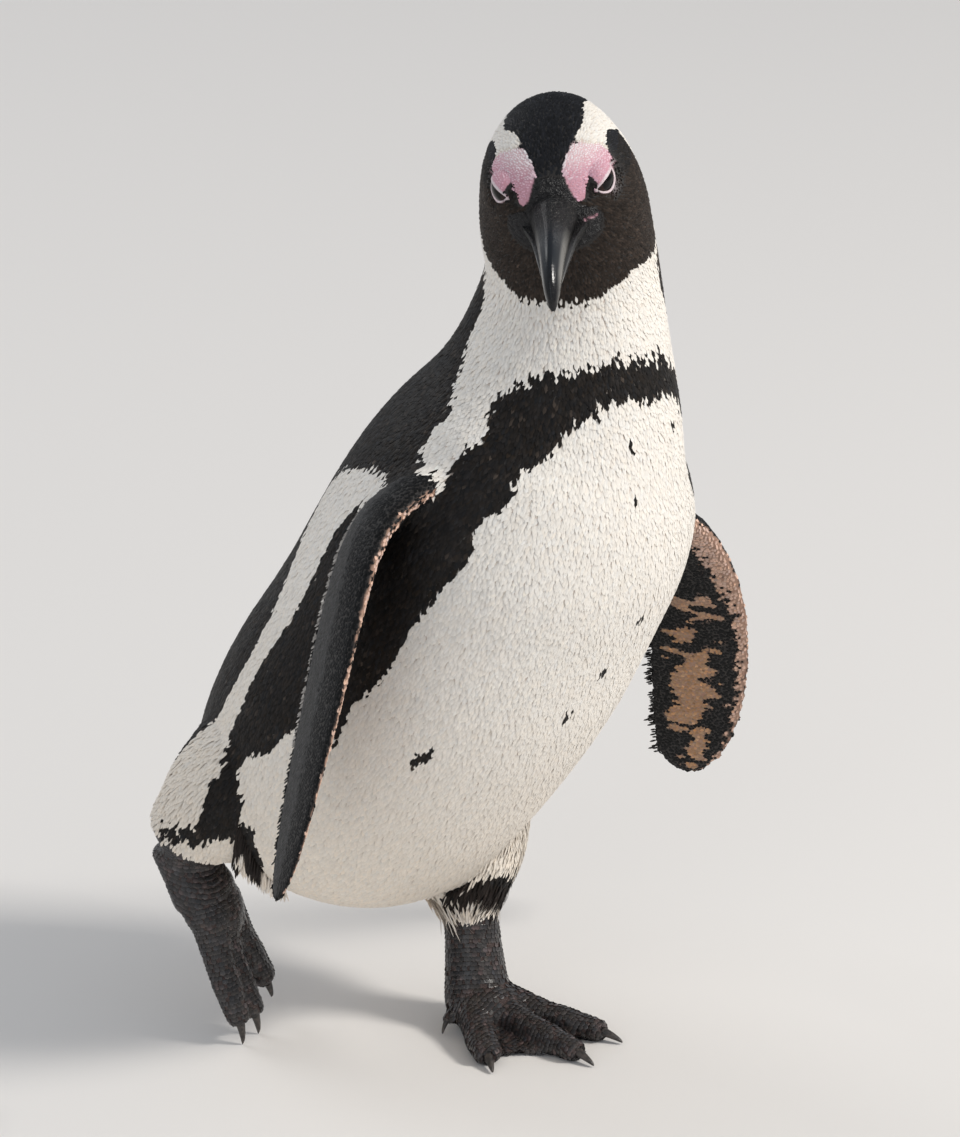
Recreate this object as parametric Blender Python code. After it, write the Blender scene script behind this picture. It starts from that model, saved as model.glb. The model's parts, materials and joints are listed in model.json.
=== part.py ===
"""African penguin, walking: a life-size still model in named parts.

Metres, +Z up. The bird walks towards -Y, its left side is +X, and the floor is z = 0.
Head, neck and trunk are one swept form, parted by thin cuts. Wings, legs, tail and bill are swept
forms of their own that stop a hair short of the body.
"""

import math

import bmesh
import bpy
from mathutils import Matrix, Vector

# ---- driving dimensions -------------------------------------------------------------------------
GAP = 0.0003  # the thin cut between two neighbouring parts
FLOOR_SHIFT = Vector((0.01696, -0.02877, 0.0))  # puts the middle of the model's box over the origin

TRUNK_CENTRE = Vector((-0.0353, 0.0116, 0.195))
TRUNK_LEAN = math.radians(22)  # forward, towards -Y
TRUNK_ROLL = math.radians(10)  # over the standing left foot

HEAD_CENTRE = Vector((-0.0159, -0.0462, 0.4400))
HEAD_TURN = math.radians(-44.5)  # to the bird's right
HEAD_NOD = math.radians(13.8)
HEAD_TILT = math.radians(-7)

BODY_SIDES = 32
EYE_RADIUS = 0.0085
EYE_PLACE = Vector((0.0186, 0.0222, 0.0042))  # out to the side, forward, up from the head's centre

WING_CHORD = 0.056
LEFT_SHOULDER = (0.070, 0.006, 0.092)  # left, front and up in the trunk's frame
LEFT_WING_TIP = Vector((0.1360, 0.0270, 0.0800))
LEFT_LEADING = Vector((0.365, -0.912, 0.19)), Vector((0.365, -0.912, 0.19))  # edge at root and at tip
RIGHT_SHOULDER = (-0.070, -0.003, 0.112)
RIGHT_WING_TIP = Vector((-0.1710, -0.0395, 0.1241))
RIGHT_LEADING = Vector((-0.24, -0.93, 0.28)), Vector((-0.42, -0.88, 0.18))

TAIL_LENGTH = 0.105
TAIL_ROOT = (0.0, -0.051, -0.080)  # in the trunk's frame
TAIL_SLOPE = math.radians(26)  # back from the trunk's own axis

CLAW_LENGTH = 0.014


# ---- frames: the columns of TRUNK and HEAD are the bird's left, front and up --------------------
def heading(turn, lean, roll):
    """The rotation of a body that faces -Y, leant forward, rolled to its left and turned."""
    return Matrix.Rotation(turn, 3, "Z") @ Matrix.Rotation(roll, 3, "Y") @ Matrix.Rotation(lean, 3, "X")


FACING = Matrix(((1, 0, 0), (0, -1, 0), (0, 0, 1)))  # left is +X, front is -Y, up is +Z
TRUNK_TURN = heading(0.0, TRUNK_LEAN, TRUNK_ROLL)
HEAD_HEADING = heading(HEAD_TURN, HEAD_NOD, HEAD_TILT)
TRUNK = TRUNK_TURN @ FACING
HEAD = HEAD_HEADING @ FACING


def in_trunk(left, front, up):
    return TRUNK_CENTRE + TRUNK @ Vector((left, front, up))


def in_head(left, front, up):
    return HEAD_CENTRE + HEAD @ Vector((left, front, up))


# ---- materials ----------------------------------------------------------------------------------
def material(name, colour, roughness):
    made = bpy.data.materials.new(name)
    made.use_nodes = True
    shader = made.node_tree.nodes["Principled BSDF"]
    shader.inputs["Base Color"].default_value = (*colour, 1.0)
    shader.inputs["Roughness"].default_value = roughness
    shader.inputs["Metallic"].default_value = 0.0
    return made


# ---- mesh helpers -------------------------------------------------------------------------------
def spread(first, last, count):
    return [first + (last - first) * i / (count - 1) for i in range(count)]


def smooth_row(rows, place):
    """Reads a smooth curve through rows of numbers at a place along it, from 0 to len - 1."""
    i = min(int(place), len(rows) - 2)
    t = place - i
    before, a, b, after = (rows[min(max(k, 0), len(rows) - 1)] for k in (i - 1, i, i + 1, i + 2))
    return [
        0.5 * (2 * q + (r - p) * t + (2 * p - 5 * q + 4 * r - s) * t * t + (3 * q - p - 3 * r + s) * t ** 3)
        for p, q, r, s in zip(before, a, b, after)
    ]


def smooth_rows(rows, count):
    return [smooth_row(rows, place) for place in spread(0, len(rows) - 1, count)]


def new_object(name, mesh, finish=None):
    """Makes an object of a finished bmesh, and frees the bmesh."""
    data = bpy.data.meshes.new(name)
    mesh.to_mesh(data)
    mesh.free()
    if finish:
        data.materials.append(finish)
    made = bpy.data.objects.new(name, data)
    bpy.context.scene.collection.objects.link(made)
    return made


def loft(name, rings, finish, poles=(None, None)):
    """One closed body from rings of points. An end is a flat cap, or a fan to its pole."""
    mesh = bmesh.new()
    loops = [[mesh.verts.new(p) for p in ring] for ring in rings]
    sides = len(rings[0])
    for low, high in zip(loops, loops[1:]):
        for i in range(sides):
            j = (i + 1) % sides
            mesh.faces.new((low[i], low[j], high[j], high[i]))
    for loop, pole in zip((loops[0], loops[-1]), poles):
        if pole is None:
            mesh.faces.new(loop)
            continue
        tip = mesh.verts.new(pole)
        for i in range(sides):
            mesh.faces.new((loop[i], loop[(i + 1) % sides], tip))
    bmesh.ops.recalc_face_normals(mesh, faces=mesh.faces)
    return new_object(name, mesh, finish)


def oval(centre, across, along, wide, deep, sides):
    """A ring of points round a centre, in the plane of the two directions."""
    turns = [2 * math.pi * k / sides for k in range(sides)]
    return [centre + across * (wide * math.cos(a)) + along * (deep * math.sin(a)) for a in turns]


def boolean(target, other, operation):
    """Applies one Boolean to target and removes the other object."""
    step = target.modifiers.new("join", "BOOLEAN")
    step.operation = operation
    step.object = other
    bpy.context.view_layer.update()
    evaluated = target.evaluated_get(bpy.context.evaluated_depsgraph_get())
    made = bpy.data.meshes.new_from_object(evaluated)
    target.modifiers.clear()
    target.data = made
    bpy.data.objects.remove(other)


def grown_copy(source, by):
    """A copy of source moved out along its normals, to cut a neighbour with."""
    mesh = bmesh.new()
    mesh.from_mesh(source.data)
    mesh.normal_update()
    moves = [(v, v.normal * by) for v in mesh.verts]
    for v, move in moves:
        v.co += move
    return new_object("cutter", mesh)


def keep_clear(target, *neighbours, by=GAP):
    for neighbour in neighbours:
        boolean(target, grown_copy(neighbour, by), "DIFFERENCE")


def trim_at_floor(target):
    """Cuts what reaches below z = 0, which leaves a small flat to stand on."""
    mesh = bmesh.new()
    bmesh.ops.create_cube(mesh, size=1.0)
    bmesh.ops.translate(mesh, verts=mesh.verts, vec=(0, 0, -0.5))
    boolean(target, new_object("floor", mesh), "DIFFERENCE")


# ---- the swept body -----------------------------------------------------------------------------
# Up the trunk's axis: height, shift to the left and to the front, reach to the front, to the back,
# half width.
TRUNK_STATIONS = (
    (-0.138, 0.000, -0.020, 0.028, 0.028, 0.028),
    (-0.130, 0.000, -0.017, 0.047, 0.053, 0.051),
    (-0.112, 0.000, -0.012, 0.061, 0.074, 0.070),
    (-0.081, 0.000, -0.006, 0.068, 0.085, 0.080),
    (-0.043, 0.001, 0.000, 0.071, 0.090, 0.086),
    (0.005, 0.003, 0.007, 0.072, 0.090, 0.086),
    (0.050, 0.004, 0.009, 0.071, 0.089, 0.085),
    (0.085, 0.005, 0.011, 0.069, 0.087, 0.082),
    (0.112, 0.006, 0.011, 0.063, 0.081, 0.074),
    (0.135, 0.003, 0.010, 0.053, 0.071, 0.061),
)
# Up the head's axis: height, shift to the front, reach to the front, to the nape, half width, taper.
HEAD_STATIONS = (
    (-0.052, 0.000, 0.041, 0.038, 0.0395, 0.00),
    (-0.036, 0.000, 0.041, 0.034, 0.0385, 0.05),
    (-0.020, 0.000, 0.041, 0.034, 0.0372, 0.14),
    (-0.006, 0.000, 0.040, 0.035, 0.0352, 0.20),
    (0.006, 0.000, 0.038, 0.0325, 0.0315, 0.18),
    (0.016, -0.002, 0.033, 0.0265, 0.0254, 0.10),
    (0.0225, -0.005, 0.0255, 0.0195, 0.0184, 0.05),
    (0.0264, -0.007, 0.0130, 0.0105, 0.0098, 0.00),
)
NECK_CUT, HEAD_CUT = 9.4, 11.35  # where the thin cuts lie, counted in stations


def body_stations():
    """(centre, turn of the frame, reaches and taper) of every station from the vent to the crown."""
    trunk_turn, head_turn = TRUNK_TURN.to_quaternion(), HEAD_HEADING.to_quaternion()
    made = [
        (in_trunk(left, shift, up), trunk_turn, (front, back, side, 0.0))
        for up, left, shift, front, back, side in TRUNK_STATIONS
    ]
    neck_turn = trunk_turn.slerp(head_turn, 0.55)
    neck_centre = (made[-1][0] + in_head(0, 0, HEAD_STATIONS[0][0])) / 2
    made.append((neck_centre + Vector((0, 0.001, 0)), neck_turn, (0.047, 0.053, 0.0480, 0.0)))
    made += [
        (in_head(0, shift, up), head_turn, (front, back, side, taper))
        for up, shift, front, back, side, taper in HEAD_STATIONS
    ]
    return made


STATIONS = body_stations()
STATION_ROWS = [[*centre, *reaches] for centre, _, reaches in STATIONS]


def mound(place, centre, radius, height):
    """A soft round rise, or a hollow where height is negative."""
    return height * math.exp(-(((place - centre).length / radius) ** 2))


def face_relief(place):
    """How far the face stands out or in, at a place of the head's own frame on either side."""
    near = Vector((abs(place.x), place.y, place.z))
    eye = Vector((0.0245, 0.0270, 0.0062))
    return (
        mound(near, eye, 0.0080, -0.0010)
        + mound(near, eye + Vector((-0.004, -0.002, 0.0125)), 0.008, 0.0012)  # brow
        + mound(near, Vector((0.017, 0.031, 0.001)), 0.007, -0.0014)  # lores
        + mound(near, Vector((0.037, -0.002, -0.020)), 0.016, 0.0010)  # cheek
    )


def body_ring(place):
    """The ring of points at a place along the body, counted in stations."""
    row = smooth_row(STATION_ROWS, place)
    centre, (front, back, side, taper) = Vector(row[:3]), row[3:]
    i = min(int(place), len(STATIONS) - 2)
    turn = STATIONS[i][1].slerp(STATIONS[i + 1][1], place - i)
    ring = []
    for k in range(BODY_SIDES):
        around = 2 * math.pi * k / BODY_SIDES
        forward = math.cos(around) * (front if math.cos(around) > 0 else back)
        widening = taper * (math.cos(around) + math.hypot(math.cos(around), 0.2)) / 2  # at the face
        sideways = math.sin(around) * side * (1 + widening)
        out = turn @ (FACING @ Vector((sideways, forward, 0)))
        point = centre + out
        relief = face_relief(HEAD.transposed() @ (point - HEAD_CENTRE))
        ring.append(point + out.normalized() * relief)
    return ring


def station_step(place):
    """Length along the body of one station at this place, to turn the gap into stations."""
    near, far = (Vector(smooth_row(STATION_ROWS, place + by)[:3]) for by in (-0.01, 0.01))
    return (far - near).length / 0.02


def swept_body(name, first, last, count, finish, poles=(None, None)):
    return loft(name, [body_ring(p) for p in spread(first, last, count)], finish, poles)


# ---- eyes and bill ------------------------------------------------------------------------------
def eyeball(name, sign, finish):
    mesh = bmesh.new()
    bmesh.ops.create_uvsphere(mesh, u_segments=12, v_segments=8, radius=EYE_RADIUS)
    centre = in_head(sign * EYE_PLACE.x, EYE_PLACE.y, EYE_PLACE.z)
    bmesh.ops.translate(mesh, verts=mesh.verts, vec=centre)
    return new_object(name, mesh, finish)


# Along the bill: forward from the head's centre, height of its back, of the mouth line, half width.
UPPER_BILL = (
    (0.026, 0.0062, -0.0068, 0.0128),
    (0.036, 0.0060, -0.0068, 0.0120),
    (0.048, 0.0045, -0.0070, 0.0099),
    (0.062, 0.0022, -0.0082, 0.0077),
    (0.074, -0.0012, -0.0105, 0.0059),
    (0.083, -0.0064, -0.0138, 0.0041),
    (0.0885, -0.0125, -0.0172, 0.0021),
)
LOWER_BILL = (
    (0.024, -0.0190, -0.0068, 0.0122),
    (0.038, -0.0186, -0.0068, 0.0108),
    (0.052, -0.0182, -0.0074, 0.0084),
    (0.064, -0.0180, -0.0086, 0.0062),
    (0.074, -0.0172, -0.0108, 0.0042),
    (0.0805, -0.0158, -0.0130, 0.0020),
)
UPPER_TIP, LOWER_TIP = (0.0, 0.0897, -0.0186), (0.0, 0.0820, -0.0146)
BILL_SIDES = 8


def half_bill(name, stations, tip, finish):
    """One mandible: an arched back over a flat mouth line."""
    rings = []
    for forward, back, mouth, side in smooth_rows(stations, 12):
        mouth += math.copysign(GAP / 2, back - mouth)
        ring = []
        for k in range(BILL_SIDES + 1):
            around = math.pi * k / BILL_SIDES
            arch = math.sin(around) ** 0.8
            ring.append(in_head(side * math.cos(around), forward, mouth + (back - mouth) * arch))
        rings.append(ring)
    return loft(name, rings, finish, (None, in_head(*tip)))


# ---- wings --------------------------------------------------------------------------------------
# Down the wing in shares of its length: both edges in shares of the chord, thickness, bow outward.
WING_STATIONS = (
    (0.00, 0.30, -0.30, 0.0240, -0.016),
    (0.09, 0.38, -0.28, 0.0210, 0.003),
    (0.18, 0.49, -0.25, 0.0150, 0.012),
    (0.29, 0.60, -0.26, 0.0112, 0.014),
    (0.42, 0.66, -0.27, 0.0090, 0.013),
    (0.57, 0.64, -0.29, 0.0074, 0.010),
    (0.72, 0.55, -0.33, 0.0062, 0.007),
    (0.86, 0.39, -0.37, 0.0052, 0.003),
    (0.94, 0.22, -0.35, 0.0042, 0.001),
    (0.985, 0.04, -0.25, 0.0032, 0.000),
)
WING_SIDES = 12


def wing(name, shoulder, tip, leading, finish):
    """A flipper hung from its shoulder. leading points roughly to its leading edge at root and tip."""
    reach = tip - shoulder
    down = reach.normalized()
    rings = []
    for share, lead, trail, thick, bow in smooth_rows(WING_STATIONS, 16):
        edge = leading[0].lerp(leading[1], share)
        chordwise = (edge - down * edge.dot(down)).normalized()
        outward = chordwise.cross(down)
        if outward.dot(shoulder - TRUNK_CENTRE) < 0:
            outward.negate()
        middle = shoulder + reach * share + outward * bow
        ring = []
        for k in range(WING_SIDES):
            around = 2 * math.pi * k / WING_SIDES
            across = (lead + trail) / 2 + (lead - trail) / 2 * math.cos(around)
            full = 0.72 + 0.28 * math.cos(around)  # thickest near the leading edge
            out = thick / 2 * full * math.sin(around)
            ring.append(middle + chordwise * (across * WING_CHORD) + outward * out)
        rings.append(ring)
    return loft(name, rings, finish, (None, tip - chordwise * (0.12 * WING_CHORD)))


# ---- tail ---------------------------------------------------------------------------------------
# Down the tail in shares of its length: half width, half thickness.
TAIL_STATIONS = (
    (0.00, 0.034, 0.0240),
    (0.30, 0.030, 0.0150),
    (0.55, 0.025, 0.0085),
    (0.80, 0.0175, 0.0048),
    (0.94, 0.0090, 0.0028),
    (0.985, 0.0040, 0.0018),
)


def tail(finish):
    root = in_trunk(*TAIL_ROOT)
    down = TRUNK @ Vector((0, -math.sin(TAIL_SLOPE), -math.cos(TAIL_SLOPE)))
    left = TRUNK @ Vector((1, 0, 0))
    upper = left.cross(down)
    rings = [
        oval(root + down * (share * TAIL_LENGTH), left, upper, wide, thick, 14)
        for share, wide, thick in smooth_rows(TAIL_STATIONS, 10)
    ]
    return loft("tail", rings, finish, (None, root + down * TAIL_LENGTH))


# ---- legs and feet: places in a left foot's own left, front and up, from under its tarsus -------
# Toe by toe: root's place to the left, degrees to the left, reach, half width.
TOES = {
    "inner": (-0.0070, -28.0, 0.0435, 0.0080),
    "middle": (0.001, 6.0, 0.062, 0.0070),
    "outer": (0.007, 24.8, 0.0573, 0.0066),
}
# Along a toe in shares of its reach: height of its middle, half width share, half height
TOE_STATIONS = (
    (0.00, 0.0125, 1.05, 0.0100),
    (0.25, 0.0098, 1.00, 0.0088),
    (0.50, 0.0072, 0.92, 0.0072),
    (0.66, 0.0064, 1.02, 0.0070),
    (0.82, 0.0054, 0.90, 0.0060),
    (0.94, 0.0050, 0.86, 0.0056),
    (1.00, 0.0050, 0.70, 0.0044),
)
CURLED_REACH = 0.056  # where every toe ends when the foot is fully drawn together
WEB_REACH = 0.80  # where the web's edge lies midway between two toes, in shares of their reach
HIND_ROOT = Vector((-0.004, -0.003, 0.0145))
HIND_REACH, HIND_HALF_WIDTH = 0.019, 0.0034
HIND_AHEAD = Vector((-0.86, 0.16, -0.38)).normalized()


def toes_at(spread_share):
    """The toes as they lie: drawn together and curled level as the foot leaves the floor."""
    return {
        name: (root, angle * spread_share, reach + (CURLED_REACH - reach) * (1 - spread_share), half_width)
        for name, (root, angle, reach, half_width) in TOES.items()
    }


def toe_direction(angle):
    return Vector((math.sin(math.radians(angle)), math.cos(math.radians(angle)), 0))


def toe(root, angle, reach, half_width):
    ahead = toe_direction(angle)
    side = Vector((ahead.y, -ahead.x, 0))
    rings = []
    for share, height, wide, tall in smooth_rows(TOE_STATIONS, 10):
        middle = Vector((root, 0, height)) + ahead * (share * reach)
        rings.append(oval(middle, side, Vector((0, 0, 1)), half_width * wide, tall, 8))
    return loft("toe", rings, None, (None, Vector((root, 0, 0.0050)) + ahead * (reach + 0.0015)))


def hind_toe():
    """The small first toe, low on the inner side of the foot."""
    side = HIND_AHEAD.cross(Vector((0, 0, 1))).normalized()
    up = side.cross(HIND_AHEAD)
    rings = [
        oval(HIND_ROOT + HIND_AHEAD * (share * HIND_REACH), side, up, wide, wide, 8)
        for share, wide in ((0.0, 0.0041), (0.5, 0.0037), (0.85, 0.0032), (1.0, 0.0024))
    ]
    return loft("toe", rings, None)


def web(near, far):
    """The skin between two toes, from their roots to a hollow edge."""
    slices = []
    for t in spread(0.0, 1.0, 7):
        root, angle, reach, _ = (a + (b - a) * t for a, b in zip(near, far))
        ahead = toe_direction(angle)
        reach *= 0.93 * (1 - (1 - WEB_REACH) * math.sin(math.pi * t) ** 0.7)
        sag = 1 - 0.25 * math.sin(math.pi * t)
        top = [(0.006, 0.0095), (0.5 * reach, 0.0062 * sag), (0.85 * reach, 0.0042 * sag), (reach, 0.0032)]
        under = [(reach, 0.0012), (0.5 * reach, 0.0012), (0.006, 0.0020)]
        slices.append([Vector((root, 0, up)) + ahead * along for along, up in top + under])
    return loft("web", slices, None)


def sole_pad():
    """The thick root of the toes, under the tarsus."""
    mesh = bmesh.new()
    bmesh.ops.create_uvsphere(mesh, u_segments=12, v_segments=7, radius=1.0)
    bmesh.ops.scale(mesh, verts=mesh.verts, vec=(0.0170, 0.0190, 0.0125))
    bmesh.ops.translate(mesh, verts=mesh.verts, vec=(0.0, 0.002, 0.0115))
    return new_object("pad", mesh)


def foot(name, place, toes, finish):
    made = sole_pad()
    made.name = name
    order = list(toes.values())
    for one in order:
        boolean(made, toe(*one), "UNION")
    for near, far in zip(order, order[1:]):
        boolean(made, web(near, far), "UNION")
    boolean(made, hind_toe(), "UNION")
    put_in_place(made, place)
    made.data.materials.append(finish)
    return made


def put_in_place(made, place):
    """Moves a foot part from the foot's own frame, and turns its faces back out if mirrored."""
    made.data.transform(place)
    if place.determinant() < 0:
        made.data.flip_normals()


def claw(name, place, start, ahead, size, length, finish):
    """A horn claw that arches over from inside the toe's end to its own sharp tip."""
    side = Vector((ahead.y, -ahead.x, 0)).normalized()
    up = side.cross(ahead)
    rings = []
    for t in (0.0, 0.25, 0.5, 0.72, 0.9):
        middle = start + ahead * (length * t) - up * (0.0040 * t ** 1.7)
        wide = size * (1 - t) ** 0.6 + 0.0003
        rings.append(oval(middle, side, up, wide, wide * 0.9, 6))
    made = loft(name, rings, finish, (None, start + ahead * length - up * 0.0046))
    put_in_place(made, place)
    return made


def claws(side, place, toes, finish):
    made = []
    for toe_name, (root, angle, reach, _) in toes.items():
        ahead = toe_direction(angle)
        start = Vector((root, 0, 0.0052)) + ahead * (reach - 0.004)
        made.append(claw(f"claw_{side}_{toe_name}", place, start, ahead, 0.0029, CLAW_LENGTH, finish))
    start = HIND_ROOT + HIND_AHEAD * (HIND_REACH - 0.0015)
    made.append(claw(f"claw_{side}_hind", place, start, HIND_AHEAD, 0.0014, 0.006, finish))
    return made


def limb(name, stations, finish, sides, count):
    """A tube through (centre, half width, half depth) stations, each ring square to its course."""
    points = smooth_rows([[*centre, wide, deep] for centre, wide, deep in stations], count)
    rings = []
    for i, row in enumerate(points):
        before, after = points[max(i - 1, 0)], points[min(i + 1, len(points) - 1)]
        along = (Vector(after[:3]) - Vector(before[:3])).normalized()
        across = Vector((1, 0, 0))
        across = (across - along * across.dot(along)).normalized()
        rings.append(oval(Vector(row[:3]), across, along.cross(across), row[3], row[4], sides))
    return loft(name, rings, finish)


LEFT_FOOT = Vector((-0.0105, 0.0120, 0.0))  # under the tarsus
RIGHT_CLAW_TIP = Vector((-0.0940, 0.0708, 0.0))  # where the middle claw meets the floor
RIGHT_ANKLE = Vector((-0.1220, 0.0985, 0.0960))
SOLE_DEPTH = 0.012
RIGHT_SPREAD = 0.35  # how far the lifted foot's toes are spread, as a share
SOLE_TURN = Matrix(((1, 0, 0, 0), (0, -1, 0, 0), (0, 0, 1, 0), (0, 0, 0, 1)))  # front is -Y


def left_foot_place():
    return Matrix.Translation(LEFT_FOOT) @ SOLE_TURN


def right_foot_place():
    """The right foot stands on its toe ends, its upper side to the front, and is mirrored."""
    facing = Vector((0.40, -0.92, 0))
    heel = RIGHT_ANKLE - facing * SOLE_DEPTH  # the sole's plane lies behind the leg's middle
    down = (RIGHT_CLAW_TIP - heel).normalized()
    upper = (facing - down * facing.dot(down)).normalized()
    right = down.cross(upper)
    turned = Matrix((right, down, upper)).transposed().to_4x4()
    reach = toes_at(RIGHT_SPREAD)["middle"][2] + CLAW_LENGTH - 0.004
    return Matrix.Translation(RIGHT_CLAW_TIP - down * reach) @ turned


def main():
    for old in list(bpy.data.objects):
        bpy.data.objects.remove(old)

    black = material("black_feather", (0.020, 0.017, 0.015), 0.75)
    white = material("white_feather", (0.80, 0.77, 0.72), 0.75)
    horn = material("bill_horn", (0.025, 0.027, 0.030), 0.35)
    skin = material("foot_skin", (0.035, 0.030, 0.028), 0.55)
    iris = material("eye", (0.035, 0.018, 0.010), 0.08)
    nail = material("claw_horn", (0.030, 0.026, 0.024), 0.45)

    # body
    half_neck = GAP / 2 / station_step(NECK_CUT)
    half_head = GAP / 2 / station_step(HEAD_CUT)
    vent = in_trunk(0, TRUNK_STATIONS[0][2], TRUNK_STATIONS[0][0] - 0.003)
    crown = in_head(0, HEAD_STATIONS[-1][1], HEAD_STATIONS[-1][0] + 0.0015)
    trunk = swept_body("trunk", 0, NECK_CUT - half_neck, 21, white, (vent, None))
    swept_body("neck", NECK_CUT + half_neck, HEAD_CUT - half_head, 7, white)
    head = swept_body("head", HEAD_CUT + half_head, len(STATIONS) - 1, 19, black, (None, crown))
    for side, sign in (("left", 1), ("right", -1)):
        keep_clear(head, eyeball(f"eye_{side}", sign, iris))
    keep_clear(half_bill("bill_upper", UPPER_BILL, UPPER_TIP, horn), head)
    keep_clear(half_bill("bill_lower", LOWER_BILL, LOWER_TIP, horn), head)

    # wings and tail
    keep_clear(wing("wing_left", in_trunk(*LEFT_SHOULDER), LEFT_WING_TIP, LEFT_LEADING, black), trunk)
    keep_clear(wing("wing_right", in_trunk(*RIGHT_SHOULDER), RIGHT_WING_TIP, RIGHT_LEADING, black), trunk)
    keep_clear(tail(black), trunk)

    # legs
    for side, place, share in (("left", left_foot_place(), 1.0), ("right", right_foot_place(), RIGHT_SPREAD)):
        toes = toes_at(share)
        sole = foot(f"foot_{side}", place, toes, skin)
        nails = claws(side, place, toes, nail)
        if side == "left":
            base, hock = place @ Vector((0, -0.002, 0.012)), place @ Vector((0.004, -0.012, 0.054))
            thigh_top = in_trunk(0.045, 0.002, -0.075)
        else:
            base, hock = place @ Vector((0, -0.004, 0.011)), RIGHT_ANKLE.copy()
            thigh_top = in_trunk(-0.048, -0.010, -0.052)
        shin = limb(f"tarsus_{side}", (
            (base, 0.0165, 0.0150),
            (base.lerp(hock, 0.5), 0.0140, 0.0132),
            (hock, 0.0126, 0.0126),
        ), skin, 12, 7)
        up = (thigh_top - hock).normalized()
        thigh = limb(f"shank_{side}", (
            (hock + up * GAP, 0.0155, 0.0155),
            (hock.lerp(thigh_top, 0.25), 0.0250, 0.0270),
            (hock.lerp(thigh_top, 0.55), 0.0310, 0.0340),
            (hock.lerp(thigh_top, 0.80), 0.0310, 0.0350),
            (thigh_top, 0.0260, 0.0280),
        ), white, 16, 8)
        keep_clear(thigh, trunk, shin)
        for one in nails:
            trim_at_floor(one)
            keep_clear(sole, one)
        keep_clear(shin, sole)
        trim_at_floor(sole)

    for made in bpy.data.objects:
        made.data.transform(Matrix.Translation(FLOOR_SHIFT))
        made.data.shade_smooth()
        made.data.set_sharp_from_angle(angle=math.radians(50))


main()
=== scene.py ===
# %% [markdown]
# # An African penguin, walking
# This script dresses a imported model, which gives the true size and pose of every part. It makes one
# skin over the flesh, feathers as thin solid vanes on it, and eyes, bill and claws of their own. All of
# this could be sculpted by hand. Here each step is code, so any number can be changed and run again.

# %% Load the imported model
import json
import math

import bmesh
import bpy
import numpy as np
from mathutils import Matrix, Vector, kdtree, noise
from mathutils.bvhtree import BVHTree

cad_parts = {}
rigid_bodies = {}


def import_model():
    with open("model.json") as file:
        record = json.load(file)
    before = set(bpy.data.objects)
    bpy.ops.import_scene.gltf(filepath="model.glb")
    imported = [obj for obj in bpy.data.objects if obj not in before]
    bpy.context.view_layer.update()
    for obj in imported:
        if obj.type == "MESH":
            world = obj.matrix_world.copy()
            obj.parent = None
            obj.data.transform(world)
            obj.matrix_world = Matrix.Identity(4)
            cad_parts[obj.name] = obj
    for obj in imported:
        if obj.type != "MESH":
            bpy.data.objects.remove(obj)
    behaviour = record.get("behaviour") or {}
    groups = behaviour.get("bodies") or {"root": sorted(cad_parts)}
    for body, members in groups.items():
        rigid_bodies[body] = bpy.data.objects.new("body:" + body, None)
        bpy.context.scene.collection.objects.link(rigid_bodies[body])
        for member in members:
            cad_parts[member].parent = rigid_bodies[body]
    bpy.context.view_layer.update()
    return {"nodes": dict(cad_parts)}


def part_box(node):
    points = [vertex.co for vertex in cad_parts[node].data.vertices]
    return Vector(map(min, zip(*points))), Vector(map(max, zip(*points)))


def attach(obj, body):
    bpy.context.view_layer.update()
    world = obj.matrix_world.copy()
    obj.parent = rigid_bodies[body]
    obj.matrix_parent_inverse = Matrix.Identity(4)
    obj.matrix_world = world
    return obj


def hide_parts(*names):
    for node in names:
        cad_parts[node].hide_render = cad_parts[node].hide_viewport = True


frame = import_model()
print("nodes:", ", ".join(sorted(frame["nodes"])))

# %% [markdown]
# A bird's markings follow its body, so each place on it gets two numbers: how far up the body it lies,
# counted in stations from the vent to the crown, and how far round, in degrees from the breast. They
# could be read from the height alone, but this bird leans and turns its head. So the same stations
# that shape the solids give the body's course here, and it bends with the neck.

# %% The body's own frames
SHIFT = Vector((0.01696, -0.02877, 0.0))
TRUNK_CENTRE = Vector((-0.0353, 0.0116, 0.195)) + SHIFT
HEAD_CENTRE = Vector((-0.0159, -0.0462, 0.4400)) + SHIFT
FACING = Matrix(((1, 0, 0), (0, -1, 0), (0, 0, 1)))  # left is +X, front is -Y, up is +Z


def heading(turn, lean, roll):
    about_z, about_y, about_x = (Matrix.Rotation(math.radians(angle), 3, axis)
                                 for angle, axis in ((turn, "Z"), (roll, "Y"), (lean, "X")))
    return about_z @ about_y @ about_x


TRUNK_TURN, HEAD_TURN = heading(0, 22, 10), heading(-44.5, 13.8, -7)
TRUNK, HEAD = TRUNK_TURN @ FACING, HEAD_TURN @ FACING  # columns: the bird's left, front and up


def in_trunk(left, front, up):
    return TRUNK_CENTRE + TRUNK @ Vector((left, front, up))


def in_head(left, front, up):
    return HEAD_CENTRE + HEAD @ Vector((left, front, up))


print("trunk's centre:", np.round(TRUNK_CENTRE, 4).tolist(), "head's:", np.round(HEAD_CENTRE, 4).tolist())

# %% The body's course
# Up the trunk: height, shift to the left and to the front. Up the head: height, shift to the front.
TRUNK_COURSE = (
    (-0.138, 0.000, -0.020), (-0.130, 0.000, -0.017), (-0.112, 0.000, -0.012), (-0.081, 0.000, -0.006),
    (-0.043, 0.001, 0.000), (0.005, 0.003, 0.007), (0.050, 0.004, 0.009), (0.085, 0.005, 0.011),
    (0.112, 0.006, 0.011), (0.135, 0.003, 0.010),
)
HEAD_COURSE = (
    (-0.052, 0.0), (-0.036, 0.0), (-0.020, 0.0), (-0.006, 0.0), (0.006, 0.0), (0.016, -0.002),
    (0.0225, -0.005), (0.0264, -0.007),
)


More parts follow.
